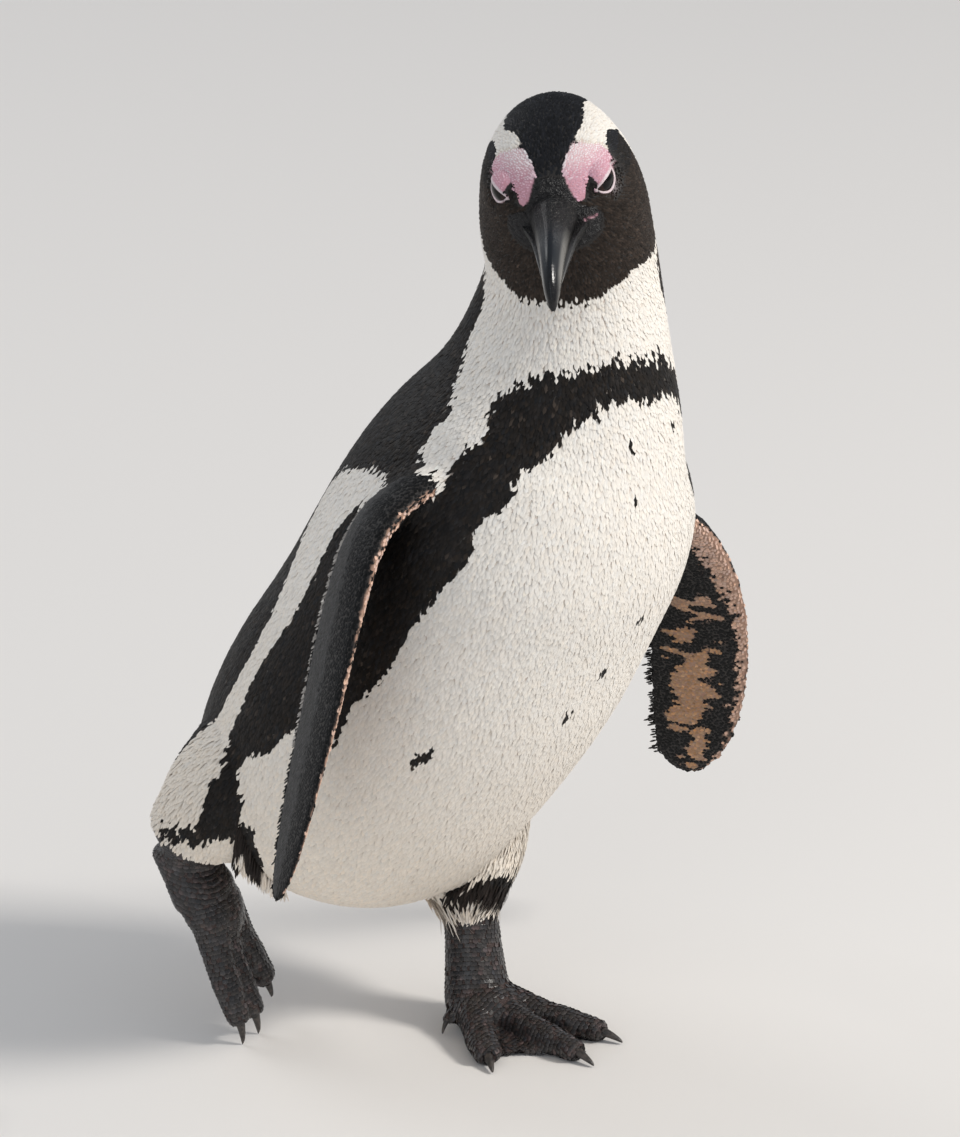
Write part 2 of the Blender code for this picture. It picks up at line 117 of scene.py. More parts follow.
def smooth_row(rows, place):
    """Reads a smooth curve through rows of numbers at a place along it."""
    i = min(int(place), len(rows) - 2)
    t = place - i
    before, a, b, after = (rows[min(max(k, 0), len(rows) - 1)] for k in (i - 1, i, i + 1, i + 2))
    return [
        0.5 * (2 * q + (r - p) * t + (2 * p - 5 * q + 4 * r - s) * t * t + (3 * q - p - 3 * r + s) * t ** 3)
        for p, q, r, s in zip(before, a, b, after)
    ]


print("halfway from the first station to the next:", smooth_row(TRUNK_COURSE, 0.5))

# %% Places all the way up the body
COURSE_STEP = 0.05  # stations
BEND = 0.55  # how far the neck's middle has turned from the trunk's heading to the head's


def body_course(step):
    """Places up the body, with the centre and the three axes of the body at each."""
    trunk_turn, head_turn = TRUNK_TURN.to_quaternion(), HEAD_TURN.to_quaternion()
    stations = [(in_trunk(left, front, up), trunk_turn) for up, left, front in TRUNK_COURSE]
    middle = (stations[-1][0] + in_head(0, 0, HEAD_COURSE[0][0])) / 2 + Vector((0, 0.001, 0))
    stations.append((middle, trunk_turn.slerp(head_turn, BEND)))
    stations += [(in_head(0, front, up), head_turn) for up, front in HEAD_COURSE]
    centres = [list(centre) for centre, _ in stations]
    places = np.arange(0, len(stations) - 1 + step / 2, step)
    rows = []
    for place in places:
        i = min(int(place), len(stations) - 2)
        turn = stations[i][1].slerp(stations[i + 1][1], place - i).to_matrix() @ FACING
        rows.append([*smooth_row(centres, place), *turn.col[0], *turn.col[1], *turn.col[2]])
    rows = np.array(rows).reshape(len(places), 4, 3)
    return places, rows[:, 0], rows[:, 1], rows[:, 2], rows[:, 3]


COURSE = body_course(COURSE_STEP)
print("the body's course:", len(COURSE[0]), "places, centre of the crown", COURSE[1][-1].round(3))

# %% A point's station, and its degrees round
BATCH = 8000  # points at a time, to keep the tables small
FAR = 9.0


def body_place(points):
    """For each point: its station up the body, and its degrees round from the breast, left positive."""
    places, centres, lefts, fronts, ups = COURSE
    station, around = np.zeros(len(points)), np.zeros(len(points))
    for start in range(0, len(points), BATCH):
        batch = slice(start, start + BATCH)
        p = points[batch]
        above = p @ ups.T - (centres * ups).sum(1)
        away = (p ** 2).sum(1)[:, None] - 2 * p @ centres.T + (centres ** 2).sum(1)
        crossing = (above[:, :-1] > 0) & (above[:, 1:] <= 0)
        k = np.where(crossing, away[:, :-1], FAR).argmin(1)
        rows = np.arange(len(p))
        low, high = above[rows, k], above[rows, k + 1]
        t = np.clip(low / np.where(np.abs(low - high) > 1e-9, low - high, 1), 0, 1)
        none = ~crossing.any(1)
        k = np.where(none, np.where(above[:, 0] <= 0, 0, len(places) - 2), k)
        t = np.where(none, np.where(above[:, 0] <= 0, 0.0, 1.0), t)
        offset = p - (centres[k] * (1 - t)[:, None] + centres[k + 1] * t[:, None])
        station[batch] = places[k] + t * (places[1] - places[0])
        around[batch] = np.degrees(
            np.arctan2((offset * lefts[k]).sum(1), (offset * fronts[k]).sum(1)))
    return station, around


def head_place(points):
    """Points in the head's own frame: left, front and up of its centre, in millimetres."""
    return (points - np.array(HEAD_CENTRE)) @ np.array(HEAD) * 1000


print("the head's centre lies at station", body_place(np.array([HEAD_CENTRE]))[0].round(2).tolist())

# %% [markdown]
# The skin is one closed surface over trunk, neck, head, limbs and tail, because a real bird has no
# seams there. A Boolean union could join the solids, but it keeps their facets and sharp joins. So
# copies of them are grown by a hair until they overlap, and a voxel remesh makes one even surface.

# %% One skin over all flesh
FLESH = [name for name in frame["nodes"] if name.split("_")[0] in
         ("trunk", "neck", "head", "wing", "tail", "shank", "tarsus", "foot")]
VOXEL = 0.0015
OVERLAP = 0.00025
WELD = 1e-6


def object_of(name, mesh):
    made = bpy.data.objects.new(name, mesh)
    bpy.context.scene.collection.objects.link(made)
    return made


def merged_nodes(names, grow=0.0):
    """One bmesh of copies of CAD nodes, each with its corners merged and moved out a little."""
    joined = bmesh.new()
    for name in names:
        joined.from_mesh(frame["nodes"][name].data)
    bmesh.ops.remove_doubles(joined, verts=joined.verts, dist=WELD)
    joined.normal_update()
    moves = [(v, v.normal * grow) for v in joined.verts]
    for v, move in moves:
        v.co += move
    return joined


def applied(obj):
    """Makes the object's modified mesh its own, and drops the modifiers."""
    bpy.context.view_layer.update()
    mesh = bpy.data.meshes.new_from_object(obj.evaluated_get(bpy.context.evaluated_depsgraph_get()))
    obj.modifiers.clear()
    obj.data = mesh
    return obj


def mesh_of(bm, name):
    mesh = bpy.data.meshes.new(name)
    bm.to_mesh(mesh)
    bm.free()
    return mesh

# %% Grow, join and remesh
skin = object_of("skin", mesh_of(merged_nodes(FLESH + ["eye_left", "eye_right"], OVERLAP), "skin"))
remesh = skin.modifiers.new("remesh", "REMESH")
remesh.mode, remesh.voxel_size, remesh.adaptivity = "VOXEL", VOXEL, 0.0
applied(skin)
print("skin:", len(skin.data.vertices), "points")

# %% Keep the outer shell
def points_of(mesh):
    co = np.zeros(len(mesh.vertices) * 3)
    mesh.vertices.foreach_get("co", co)
    return co.reshape(-1, 3)


def move_points(mesh, points):
    mesh.vertices.foreach_set("co", points.ravel())
    mesh.update()


def edges_of(mesh):
    ends = np.zeros(len(mesh.edges) * 2, np.int64)
    mesh.edges.foreach_get("vertices", ends)
    return ends.reshape(-1, 2)


def keep_largest_shell(mesh):
    """Spreads the lowest number along the edges until each shell has one, then keeps the biggest."""
    ends = edges_of(mesh)
    label = np.arange(len(mesh.vertices))
    while True:
        lowest = label.copy()
        np.minimum.at(lowest, ends[:, 0], label[ends[:, 1]])
        np.minimum.at(lowest, ends[:, 1], label[ends[:, 0]])
        lowest = lowest[lowest]
        if (lowest == label).all():
            break
        label = lowest
    biggest = np.bincount(label).argmax()
    bm = bmesh.new()
    bm.from_mesh(mesh)
    bm.verts.ensure_lookup_table()
    stray = [bm.verts[i] for i in np.flatnonzero(label != biggest)]
    bmesh.ops.delete(bm, geom=stray, context="VERTS")
    bm.to_mesh(mesh)
    bm.free()
    return len(stray)


print("stray points removed:", keep_largest_shell(skin.data))

# %% Name each point's region
REGIONS = ("trunk", "neck", "head", "wing_left", "wing_right", "tail", "shank_left", "shank_right",
           "tarsus_left", "tarsus_right", "foot_left", "foot_right")


def flesh_tree():
    """A search tree over the faces of all flesh solids, and which solid each face belongs to."""
    points, faces, owners = [], [], []
    for number, name in enumerate(FLESH):
        mesh = frame["nodes"][name].data
        mesh.calc_loop_triangles()
        start = len(points)
        points += [v.co.copy() for v in mesh.vertices]
        faces += [[start + i for i in t.vertices] for t in mesh.loop_triangles]
        owners += [number] * len(mesh.loop_triangles)
    return BVHTree.FromPolygons(points, faces), owners


tree, owners = flesh_tree()


def nearest_solid(points):
    """The region of the solid that lies nearest to each point."""
    return np.array([REGIONS.index(FLESH[owners[tree.find_nearest(Vector(p))[2]]]) for p in points])


skin_points = points_of(skin.data)
region = nearest_solid(skin_points)
print({name: int((region == i).sum()) for i, name in enumerate(REGIONS)})

# %% Numbers that vary over the skin
def per_region(**values):
    """One number for each point of the skin, by the region it lies in."""
    table = np.array([values[name.split("_")[0]] for name in REGIONS])
    return table[region]


def averaged(values, ends, rounds, share=0.5):
    """Moves each point's value towards the mean of its neighbours'. share may differ from point to point."""
    values = values.reshape(len(values), -1).astype(float)
    count = np.bincount(ends.ravel(), minlength=len(values))[:, None]
    share = np.broadcast_to(np.asarray(share, float), (len(values),))[:, None]
    for _ in range(rounds):
        total = np.stack([
            np.bincount(ends[:, 0], values[ends[:, 1], i], len(values))
            + np.bincount(ends[:, 1], values[ends[:, 0], i], len(values)) for i in range(values.shape[1])
        ], 1)
        values = values + share * (total / count - values)
    return values if values.shape[1] > 1 else values[:, 0]


ends = edges_of(skin.data)
softness = per_region(trunk=0.6, neck=0.6, head=0.6, wing=0.06, tail=0.3, shank=0.6, tarsus=0.25, foot=0.06)
softness = averaged(softness, ends, 6)
print("softness from", softness.min().round(2), "to", softness.max().round(2))

# %% [markdown]
# Feathers round off what lies under them: a bird's trunk shows no edges, while its flippers and toes
# stay crisp. A Smooth modifier would treat both alike. So each point moves towards the mean of its
# neighbours by a share that depends on its region. A Decimate modifier then thins the skin where
# feathers will hide it, and the skin is drawn in by the depth of the coat that will lie on it.

# %% Smooth the skin and thin it
SMOOTHING_ROUNDS = 24
KEPT_SHARE = 0.40
COARSE = {"trunk": 1.0, "neck": 1.0, "shank": 0.8, "tail": 0.5, "wing": 0.3, "head": 0.12, "tarsus": 0.1,
          "foot": 0.0}
move_points(skin.data, averaged(skin_points, ends, SMOOTHING_ROUNDS, softness))
coarse = skin.vertex_groups.new(name="coarse")
for number, name in enumerate(REGIONS):
    coarse.add(np.flatnonzero(region == number).tolist(), COARSE[name.split("_")[0]], "REPLACE")
thin = skin.modifiers.new("thin", "DECIMATE")
thin.ratio, thin.vertex_group, thin.vertex_group_factor = KEPT_SHARE, "coarse", 1.0
applied(skin)
skin.vertex_groups.clear()
print("skin thinned to", len(skin.data.polygons), "triangles")

# %% Where the coat ends on the legs
HOCK_RISE = 0.0075  # the bare shin of the lifted right leg reaches this far up the shank
SHIN_TOP = 0.004  # corners this near the shin's highest one belong to its top


def box_middle(node):
    return sum(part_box(node), Vector()) / 2


def hock(side):
    """The top of the bare shin, and the direction up the shank from it."""
    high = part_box(f"tarsus_{side}")[1]
    corners = np.array([v.co for v in frame["nodes"][f"tarsus_{side}"].data.vertices])
    top = corners[corners[:, 2] > high.z - SHIN_TOP].mean(0)
    shank = np.array(box_middle(f"shank_{side}"))
    return top, (shank - top) / np.linalg.norm(shank - top)


def regions_of(points):
    found = nearest_solid(points)
    top, up = hock("right")
    bent = (found == REGIONS.index("shank_right")) & ((points - top) @ up < HOCK_RISE)
    found[bent] = REGIONS.index("tarsus_right")
    return found


skin_points = points_of(skin.data)
region, ends = regions_of(skin_points), edges_of(skin.data)
print("points on the right shin:", int((region == REGIONS.index("tarsus_right")).sum()))

# %% Draw the skin in by the coat's depth
# The right cheek is hollowed a little where the head turns: middle and reach in millimetres
HOLLOW, HOLLOW_REACH, HOLLOW_DEPTH = (-31, 22, -13), (17, 24, 18), 0.0037
cheek = (head_place(skin_points) - HOLLOW) / HOLLOW_REACH
skin_points = skin_points + HOLLOW_DEPTH * np.exp(-(cheek ** 2).sum(1))[:, None] * np.array(HEAD.col[0])
move_points(skin.data, skin_points)
coat_depth = per_region(trunk=0.0014, neck=0.0013, head=0.0009, wing=0.0005, tail=0.0012, shank=0.0014,
                        tarsus=0.0003, foot=0.0002)
coat_depth = averaged(coat_depth, ends, 4)


def normals_of(mesh):
    normals = np.zeros(len(mesh.vertices) * 3)
    mesh.vertex_normals.foreach_get("vector", normals)
    return normals.reshape(-1, 3)


skin_points = skin_points - normals_of(skin.data) * coat_depth[:, None]
move_points(skin.data, skin_points)
print("skin drawn in by", round(coat_depth.max() * 1000, 2), "mm at most")

# %% [markdown]
# The lids lie on the eyeball, with a thick pale rim round an almond opening. They could be cut out of
# the skin, but a cut leaves a raw edge. Instead the skin round each eye is made finer, and its points
# are set on the eyeball's own sphere: under its surface inside the opening, so that the ball shows, and
# over it outside. One distance, measured on the ball from the lids' edge, steers it all.

# %% The opening of the eyes
EYE_RADIUS = 8.5  # millimetres, as all measures of the eye
EYE_CENTRE = np.array((18.6, 22.2, 4.2))  # on the left: out to the side, front, up, in the head's frame
EYE_OUT = np.array((0.786, 0.556, 0.270))
EYE_BACK = np.array((0.487, -0.826, 0.282))  # from the front corner to the rear one
EYE_OVER = np.array((-0.379, 0.090, 0.921))
OPENING = (47.0, 63.0)  # degrees from the middle to the front corner and to the rear one
UPPER_LID, LOWER_LID = 7.0, -46.0  # degrees over the middle
NO_LID = 90.0
EYE_REACH = 12.5
OVER_BALL = 1.05  # the lids' skin, in radii of the ball


def lid_distance(near):
    """Millimetres from the edge of the lids, negative in the opening, for points mirrored to the left."""
    offset = near - EYE_CENTRE
    out = offset @ EYE_OUT
    back = np.degrees(np.arctan2(offset @ EYE_BACK, out))
    over = np.degrees(np.arctan2(offset @ EYE_OVER, out))
    reach = np.where(back < 0, *OPENING)
    share = np.clip(back / reach, -1, 1)
    arch = np.sqrt(1 - share ** 2)
    upper, lower = UPPER_LID * arch ** 1.3, LOWER_LID * arch * (1 + 0.12 * share)
    beside = np.maximum(np.abs(back) - reach, 0)
    away = np.where(beside > 0, np.hypot(beside, over), np.maximum(over - upper, lower - over))
    away = np.where((out < 0) | (np.linalg.norm(offset, axis=1) > EYE_REACH), NO_LID, away)
    return away * math.radians(1) * EYE_RADIUS * OVER_BALL


def mirrored_head(points):
    place = head_place(points)
    place[:, 0] = np.abs(place[:, 0])
    return place


print("points in the opening of either eye:", int((lid_distance(mirrored_head(skin_points)) < 0).sum()))

# %% Finer skin round the eyes
def refine(mesh, near, rounds):
    """Halves every edge of the mesh near given places, once for each distance in rounds."""
    bm = bmesh.new()
    bm.from_mesh(mesh)
    for distance in rounds:
        edges = [e for e in bm.edges
                 if any((v.co - place).length < distance for v in e.verts for place in near)]
        bmesh.ops.subdivide_edges(bm, edges=edges, cuts=1, use_grid_fill=True)
    bmesh.ops.triangulate(bm, faces=[f for f in bm.faces if len(f.verts) > 4])
    bm.to_mesh(mesh)
    bm.free()


eyes = [in_head(sign * 0.0235, 0.0255, 0.0062) for sign in (1, -1)]
refine(skin.data, eyes, (0.0155, 0.0130))
print("skin:", sum(len(f.vertices) - 2 for f in skin.data.polygons), "triangles")

# %% The lids on the eyeballs
# Millimetres from the edge of the lids, and how far over the ball the skin lies there
LID_PROFILE = ((-1.2, -1.6), (-0.35, -1.2), (0.0, 0.15), (0.35, 0.75), (0.9, 0.80), (1.5, 0.55),
               (2.2, 0.45), (3.2, 0.6))
LEAST_COVER = 0.55
HOLD_UNTIL, HOLD_FADE = 4.2, 2.2  # the skin leaves the ball over the last of these millimetres
points = points_of(skin.data)
near = mirrored_head(points)
offset = near - EYE_CENTRE
from_ball = np.linalg.norm(offset, axis=1)
lid = lid_distance(near)
target = EYE_RADIUS + np.interp(lid, *zip(*LID_PROFILE))
hold = np.clip((HOLD_UNTIL - lid) / HOLD_FADE, 0, 1)
hold = hold * hold * (3 - 2 * hold) * (from_ball < 14) * (offset @ EYE_OUT > 0)
new = from_ball + (target - from_ball) * hold
over_ball = (lid > 0.3) & (from_ball < 13) & (offset @ EYE_OUT > -4)
new = np.where(over_ball, np.maximum(new, EYE_RADIUS + LEAST_COVER), new)
place = head_place(points)
sign = np.sign(place[:, 0])
moved = EYE_CENTRE + offset * (new / from_ball)[:, None]
moved[:, 0] *= sign
moved = moved / 1000 @ np.array(HEAD).T + np.array(HEAD_CENTRE)
skin_points = np.where(((hold > 0) | over_ball)[:, None], moved, points)
move_points(skin.data, skin_points)
print("points set on the eyeballs:", int(((hold > 0) | over_ball).sum()))

# %% [markdown]
# The markings: black back, white collar, the black band that runs over the breast and down both
# flanks, the black mask and crown. A painted texture would do for a smooth hide, but here every single
# feather needs to know its colour. So each marking is drawn once, as a line of a few corners in
# stations and degrees, and both the skin and the feathers read it.

# %% The lines of the markings
# (degrees round, station up)
FLANK_OUTER = (
    (90, 2.75), (93, 2.95), (99, 3.3), (104, 3.55), (106, 4.05), (109, 4.4), (109, 5.45), (111, 6.0),
    (112, 6.4), (104, 7.1), (97, 7.2), (89, 7.3), (85, 7.8), (83, 8.0), (85, 8.2), (87, 8.5),
)
FLANK_INNER = (
    (61, 8.25), (65, 8.0), (65, 7.65), (62, 7.35), (63, 7.0), (65, 6.7), (65, 6.4), (67, 5.9), (67, 5.4),
    (69, 5.2), (71, 5.0), (71, 4.75), (69, 4.5), (82, 4.25), (85, 4.05), (87, 3.8), (92, 3.55), (93, 3.35),
    (90, 3.05), (88, 2.85),
)
BAND_OVER = (
    (-88, 8.85), (-78, 9.2), (-69, 9.45), (-65, 9.7), (-55, 9.9), (-40, 10.1), (-26, 10.25), (-15, 10.3),
    (0, 10.35), (22, 10.35), (35, 10.3), (58, 10.1), (72, 9.85), (80, 9.55), (88, 9.2), (92, 8.85),
)
BAND_UNDER = (
    (60, 8.65), (66, 8.95), (70, 9.3), (64, 9.6), (41, 9.85), (20, 9.95), (2, 9.93), (-12, 9.8), (-27, 9.6),
    (-40, 9.35), (-54, 9.1), (-62, 8.95), (-59, 8.65),
)


def mirror(line):
    return [(-around, station) for around, station in line]


BAND = (mirror(FLANK_OUTER) + list(BAND_OVER) + list(FLANK_OUTER[::-1]) + list(FLANK_INNER[::-1])
        + list(BAND_UNDER) + mirror(FLANK_INNER))
MASK = (
    (-38, 11.25), (-30, 11.2), (-14, 11.13), (0, 11.1), (8, 11.08), (25, 11.16), (40, 11.33), (53, 11.45),
    (62, 11.35), (71, 11.26), (84, 11.16), (94, 11.5), (98, 12.2), (99, 13.0), (100, 13.9), (103, 15.0),
    (104, 17.5), (-104, 17.5), (-103, 15.0), (-98, 13.9), (-92, 13.2), (-84, 12.6), (-70, 12.1),
    (-56, 11.75), (-46, 11.45),
)
# How far round the black back and nape begins, at each station
BACK_EDGE = (
    (0, 125), (1.5, 121), (2.7, 117), (3.4, 114), (3.9, 115), (4.4, 117), (4.75, 120), (5.2, 126), (5.5, 134),
    (6.15, 141), (6.8, 127), (7.3, 113), (7.38, 86), (7.95, 86), (8.0, 98), (8.15, 101), (8.5, 107),
    (9.05, 106), (9.4, 102), (9.85, 93), (10.3, 86), (10.6, 77), (10.8, 78), (11.2, 92), (11.6, 104),
    (12.2, 116), (13, 127), (14, 136), (15, 144), (18, 150),
)
# Single dark spots: degrees round, station, radius in millimetres
SPOTS = ((-43, 4.7, 3.8), (5, 5.35, 2.7), (12, 5.9, 2.6), (20, 6.6, 2.6), (3.5, 8.95, 2.1), (11.5, 9.5, 2.0),
         (48, 9.5, 2.4), (-93, 7.75, 4.5))


def inside(corners, x, y):
    """Whether each point lies within a closed line of corners."""
    within = np.zeros(len(x), bool)
    for (ax, ay), (bx, by) in zip(corners, corners[1:] + corners[:1]):
        if ay == by:
            continue
        within ^= ((ay > y) != (by > y)) & (x < (bx - ax) * (y - ay) / (by - ay) + ax)
    return within


print("corners of the band:", len(BAND), "and of the mask:", len(MASK))

# %% The face
# In the head's own millimetres. Half width of the black crown stripe by how far forward it is.
CROWN_STRIPE = ((-40, 16.5), (-5, 15.5), (3, 15.5), (10, 13.5), (16, 11.5), (22, 9.0), (27, 7.0), (31, 6.0),
                (40, 6.0))
# On the bird's right the stripe is this many times wider, which fades out between two places forward
WIDER_RIGHT, WIDER_UNTIL = 1.30, (1, 9)
# Upper edge of the mask by degrees round from the front, and the bare pink skin's outline, as
# (degrees round, height)
MASK_TOP = ((38, 4), (50, 4.0), (55, 6.5), (59, 9.3), (62, 12.5), (71, 15), (84, 15.9), (93, 13.5), (100, 11),
            (112, 7))
BARE = ((16, 19), (12, 15.5), (12, 12.5), (13, 10), (14, 8), (16, 4), (19.5, 1.2), (23, 2.2), (25.5, 6),
        (28, 8.0), (31, 10.5), (33, 9.0), (36, 3.0), (43, -0.5), (52, 2.0), (58, 7.5), (62, 12.6), (58, 16.5),
        (42, 19.8), (27, 21))
# Rough bare skin: half width by height between the lobes, and a patch (side, height) to the gape
BRIDGE = ((-9, 12.5), (0, 11.5), (5, 9.4), (9, 8.2), (12.3, 6.4), (13.4, 0))
CHEEK = ((0, -1), (11, -0.8), (14.5, -1.2), (17.5, -3), (20, -5), (20.8, -9), (19.5, -14.5), (14.5, -18),
         (8, -20), (0, -20))
GAPE = (13.8, 37.6, -7.2), (19.3, 35.2, -6.6)  # both ends of the pink fold
LID_LIMIT = EYE_RADIUS + 0.95
LID_SKIN = 1.9  # how far from the lids' edge the skin is bare


def rough_zone(near):
    side, front, up = near.T
    bridge = (side < np.interp(up, *zip(*BRIDGE))) & (up > -9) & (up < 13.4)
    return (bridge | inside(list(CHEEK), side, up)) & (front > 27)


def gape_distance(near):
    """Millimetres from the short pink fold at the corner of the mouth."""
    a, b = map(np.array, GAPE)
    share = np.clip((near - a) @ (b - a) / ((b - a) @ (b - a)), 0, 1)
    wavy = np.outer(0.5 * np.sin(share * 7), (0, 0, 1))
    return np.linalg.norm(near - a - share[:, None] * (b - a) - wavy, axis=1)


def face_zones(points):
    """Masks of the mask's front, the bare pink skin, and the black crown, on either side."""
    near = mirrored_head(points)
    side, front, up = near.T
    round_ = np.degrees(np.arctan2(side, front))
    wider = np.where(head_place(points)[:, 0] < 0, np.interp(front, WIDER_UNTIL, (WIDER_RIGHT, 1.0)), 1.0)
    crown = (side < wider * np.interp(front, *zip(*CROWN_STRIPE))) & (up > -14 + 14 * (front > -20))
    below = up < np.interp(round_, *zip(*MASK_TOP))
    lid = np.where(np.linalg.norm(near - EYE_CENTRE, axis=1) < LID_LIMIT, lid_distance(near), NO_LID)
    bare = inside(list(BARE), round_, up) & (front > 8) | (lid < LID_SKIN)
    return round_, below, bare & ~(crown & (lid > LID_SKIN)), crown, lid


print("points of bare skin by the eyes:", int(face_zones(skin_points)[2].sum()))

# %% Where a place lies along a wing
CHORD = 0.056
WINGS = {
    "wing_left": ((0.070, 0.006, 0.092), Vector((0.1360, 0.0270, 0.0800)),
                  (0.365, -0.912, 0.19), (0.365, -0.912, 0.19)),
    "wing_right": ((-0.070, -0.003, 0.112), Vector((-0.1710, -0.0395, 0.1241)),
                   (-0.24, -0.93, 0.28), (-0.42, -0.88, 0.18)),
}
# Down the wing in shares of its length: both edges in shares of the chord, and its bow outward
WING_EDGES = (
    (0.00, 0.30, -0.30, -0.016), (0.09, 0.38, -0.28, 0.003), (0.18, 0.49, -0.25, 0.012),
    (0.29, 0.60, -0.26, 0.014), (0.42, 0.66, -0.27, 0.013), (0.57, 0.64, -0.29, 0.010),
    (0.72, 0.55, -0.33, 0.007), (0.86, 0.39, -0.37, 0.003), (0.94, 0.22, -0.35, 0.001),
    (0.985, 0.04, -0.25, 0.0),
)

# %% Directions and places on a wing
def unit(vectors):
    return vectors / np.maximum(np.linalg.norm(vectors, axis=-1, keepdims=True), 1e-12)


def square_to(vectors, others):
    """The part of each vector that stands square to the other one, made one long."""
    return unit(vectors - others * (vectors * others).sum(1)[:, None])


def wing_axes(wing, share):
    """For shares of the length down a wing: root, reach, course, and its leading and outer directions."""
    shoulder, tip, first, last = WINGS[wing]
    root = np.array(in_trunk(*shoulder))
    reach = np.array(tip + SHIFT) - root
    along = reach / np.linalg.norm(reach)
    leading = np.array(first) + (np.array(last) - np.array(first)) * np.clip(share, 0, 1)[:, None]
    leading = unit(leading - along * (leading @ along)[:, None])
    out = np.cross(leading, along)
    out *= np.sign(out @ (root - np.array(TRUNK_CENTRE)))[:, None]
    return root, reach, along, leading, out


def wing_place(wing, points):
    """Share down the wing's length, and share across it from its trailing to its leading edge."""
    root, reach, along, _, _ = wing_axes(wing, np.zeros(1))
    share = (points - root) @ along / np.linalg.norm(reach)
    _, _, _, leading, out = wing_axes(wing, share)
    across = ((points - root) * leading).sum(1) / CHORD
    shares, lead, trail, _ = np.array(WING_EDGES).T
    low, high = np.interp(share, shares, trail), np.interp(share, shares, lead)
    return share, (across - low) / (high - low), leading, out


for wing in WINGS:
    print(wing, "reaches", round(float(np.linalg.norm(wing_axes(wing, np.zeros(1))[1])), 4), "m")

# %% Small dark streaks where the legs leave the body
# Millimetres up the body's course at each station
HEIGHTS = (0, 8.5, 27.2, 58.8, 97.3, 145.9, 190.9, 226, 253, 276.4, 314.9, 353.1, 369.3, 385.3, 399.3,
           411.3, 421.5, 428.7, 433.1)
# (degrees round, station, reach in millimetres) on either side
LEG_STREAKS = (
    ((102, 1.32, 2.5), (95, 1.63, 3.5), (90, 1.95, 3.5), (88, 2.35, 6)),
    ((91, 2.95, 7), (88, 2.45, 7), (81, 2.45, 7), (74, 2.1, 5), (70, 1.75, 3.5)),
)
STREAK_DEGREE = 1.25  # millimetres


def height_of(station):
    return np.interp(station, range(len(HEIGHTS)), HEIGHTS)


def streak(line, around, station):
    """Whether a place lies on a line of spots, each with its own reach."""
    height = height_of(station)
    on_line = np.zeros(len(around), bool)
    for (a, s, r), (b, t, q) in zip(line, line[1:]):
        for share in (0.0, 0.2, 0.4, 0.6, 0.8, 1.0):
            degrees, place, reach = a + (b - a) * share, s + (t - s) * share, r + (q - r) * share
            away = np.hypot((around - degrees) * STREAK_DEGREE, height - height_of(place))
            on_line |= away < reach
    return on_line


print("the crown is", HEIGHTS[-1], "mm up the body's course")

# %% The ring round the left leg, and the undersides of the wings
BLACK, WHITE, PINK, RIM, LEATHER, TAN, ROUGH = range(7)
KINDS = ("black", "white", "pink", "rim", "leather", "tan", "rough")
LEFTWARD = np.array((0.766, -0.643, 0.0))  # over the ground, from the right leg's side to the left's
# How far across the wing its pale leading margin begins below, by the share down the wing
MARGIN = (0, 0.15, 0.3, 0.5, 0.9, 1.0), (0.45, 0.55, 0.72, 0.85, 0.88, 0.80)


def beside_leg(points, side):
    """Millimetres up from the top of the bare shin, and leftward from it."""
    top, up = hock(side)
    return (points - top) @ up * 1000, (points - top) @ LEFTWARD * 1000


def leg_ring(points):
    """A black ring of feathers just above the left shin, higher on its outer side."""
    height, beside = beside_leg(points, "left")
    return (height > 1.0) & (height < 8.5 + 0.30 * beside) & (beside > -13)


def wing_kind(wing, points, outward):
    """Dark above. Below, a pale speckled leading margin and pale streaks on black."""
    share, across, _, out = wing_place(wing, points)
    under = (out * outward).sum(1) < 0
    streaks = np.array([
        noise.noise(Vector((a * 52, b * 4.0, 4))) + 0.5 * noise.noise(Vector((a * 14, b * 5, 9)))
        for a, b in zip(share, across)])
    specks = np.array([noise.noise(Vector(p) * 420) for p in points])
    margin = np.interp(share, *MARGIN)
    if wing == "wing_right":
        margin = np.maximum(margin, 0.88)
    pale = (across - margin) * 6 + specks * 1.3 > 0.15 + 0.5 * (across < margin)
    patch = 1.0 - np.hypot((share - 0.71) / 0.17, (across - 0.46) / 0.27)
    tip = 0.55 - np.hypot((share - 0.92) / 0.09, (across - 0.60) / 0.40)
    small = 0.45 - np.hypot((share - 0.45) / 0.07, (across - 0.45) / 0.45)
    streaky = np.maximum(patch, np.maximum(tip, small)) + 1.0 * streaks > 0.15
    edge = (across > 0.975) & (share > 0.10) & (specks > 0.0)
    return np.where(under & (pale | streaky) | edge, TAN, BLACK)

# %% One function for every marking
HEAD_FROM, BACK_UNTIL, BARE_FROM = 10.9, 15.6, 12.5  # stations
SPOT_DEGREE, SPOT_STATION = 1.35, 38  # millimetres


def limb_names(regions):
    return np.array([name.split("_")[0] for name in REGIONS])[regions]


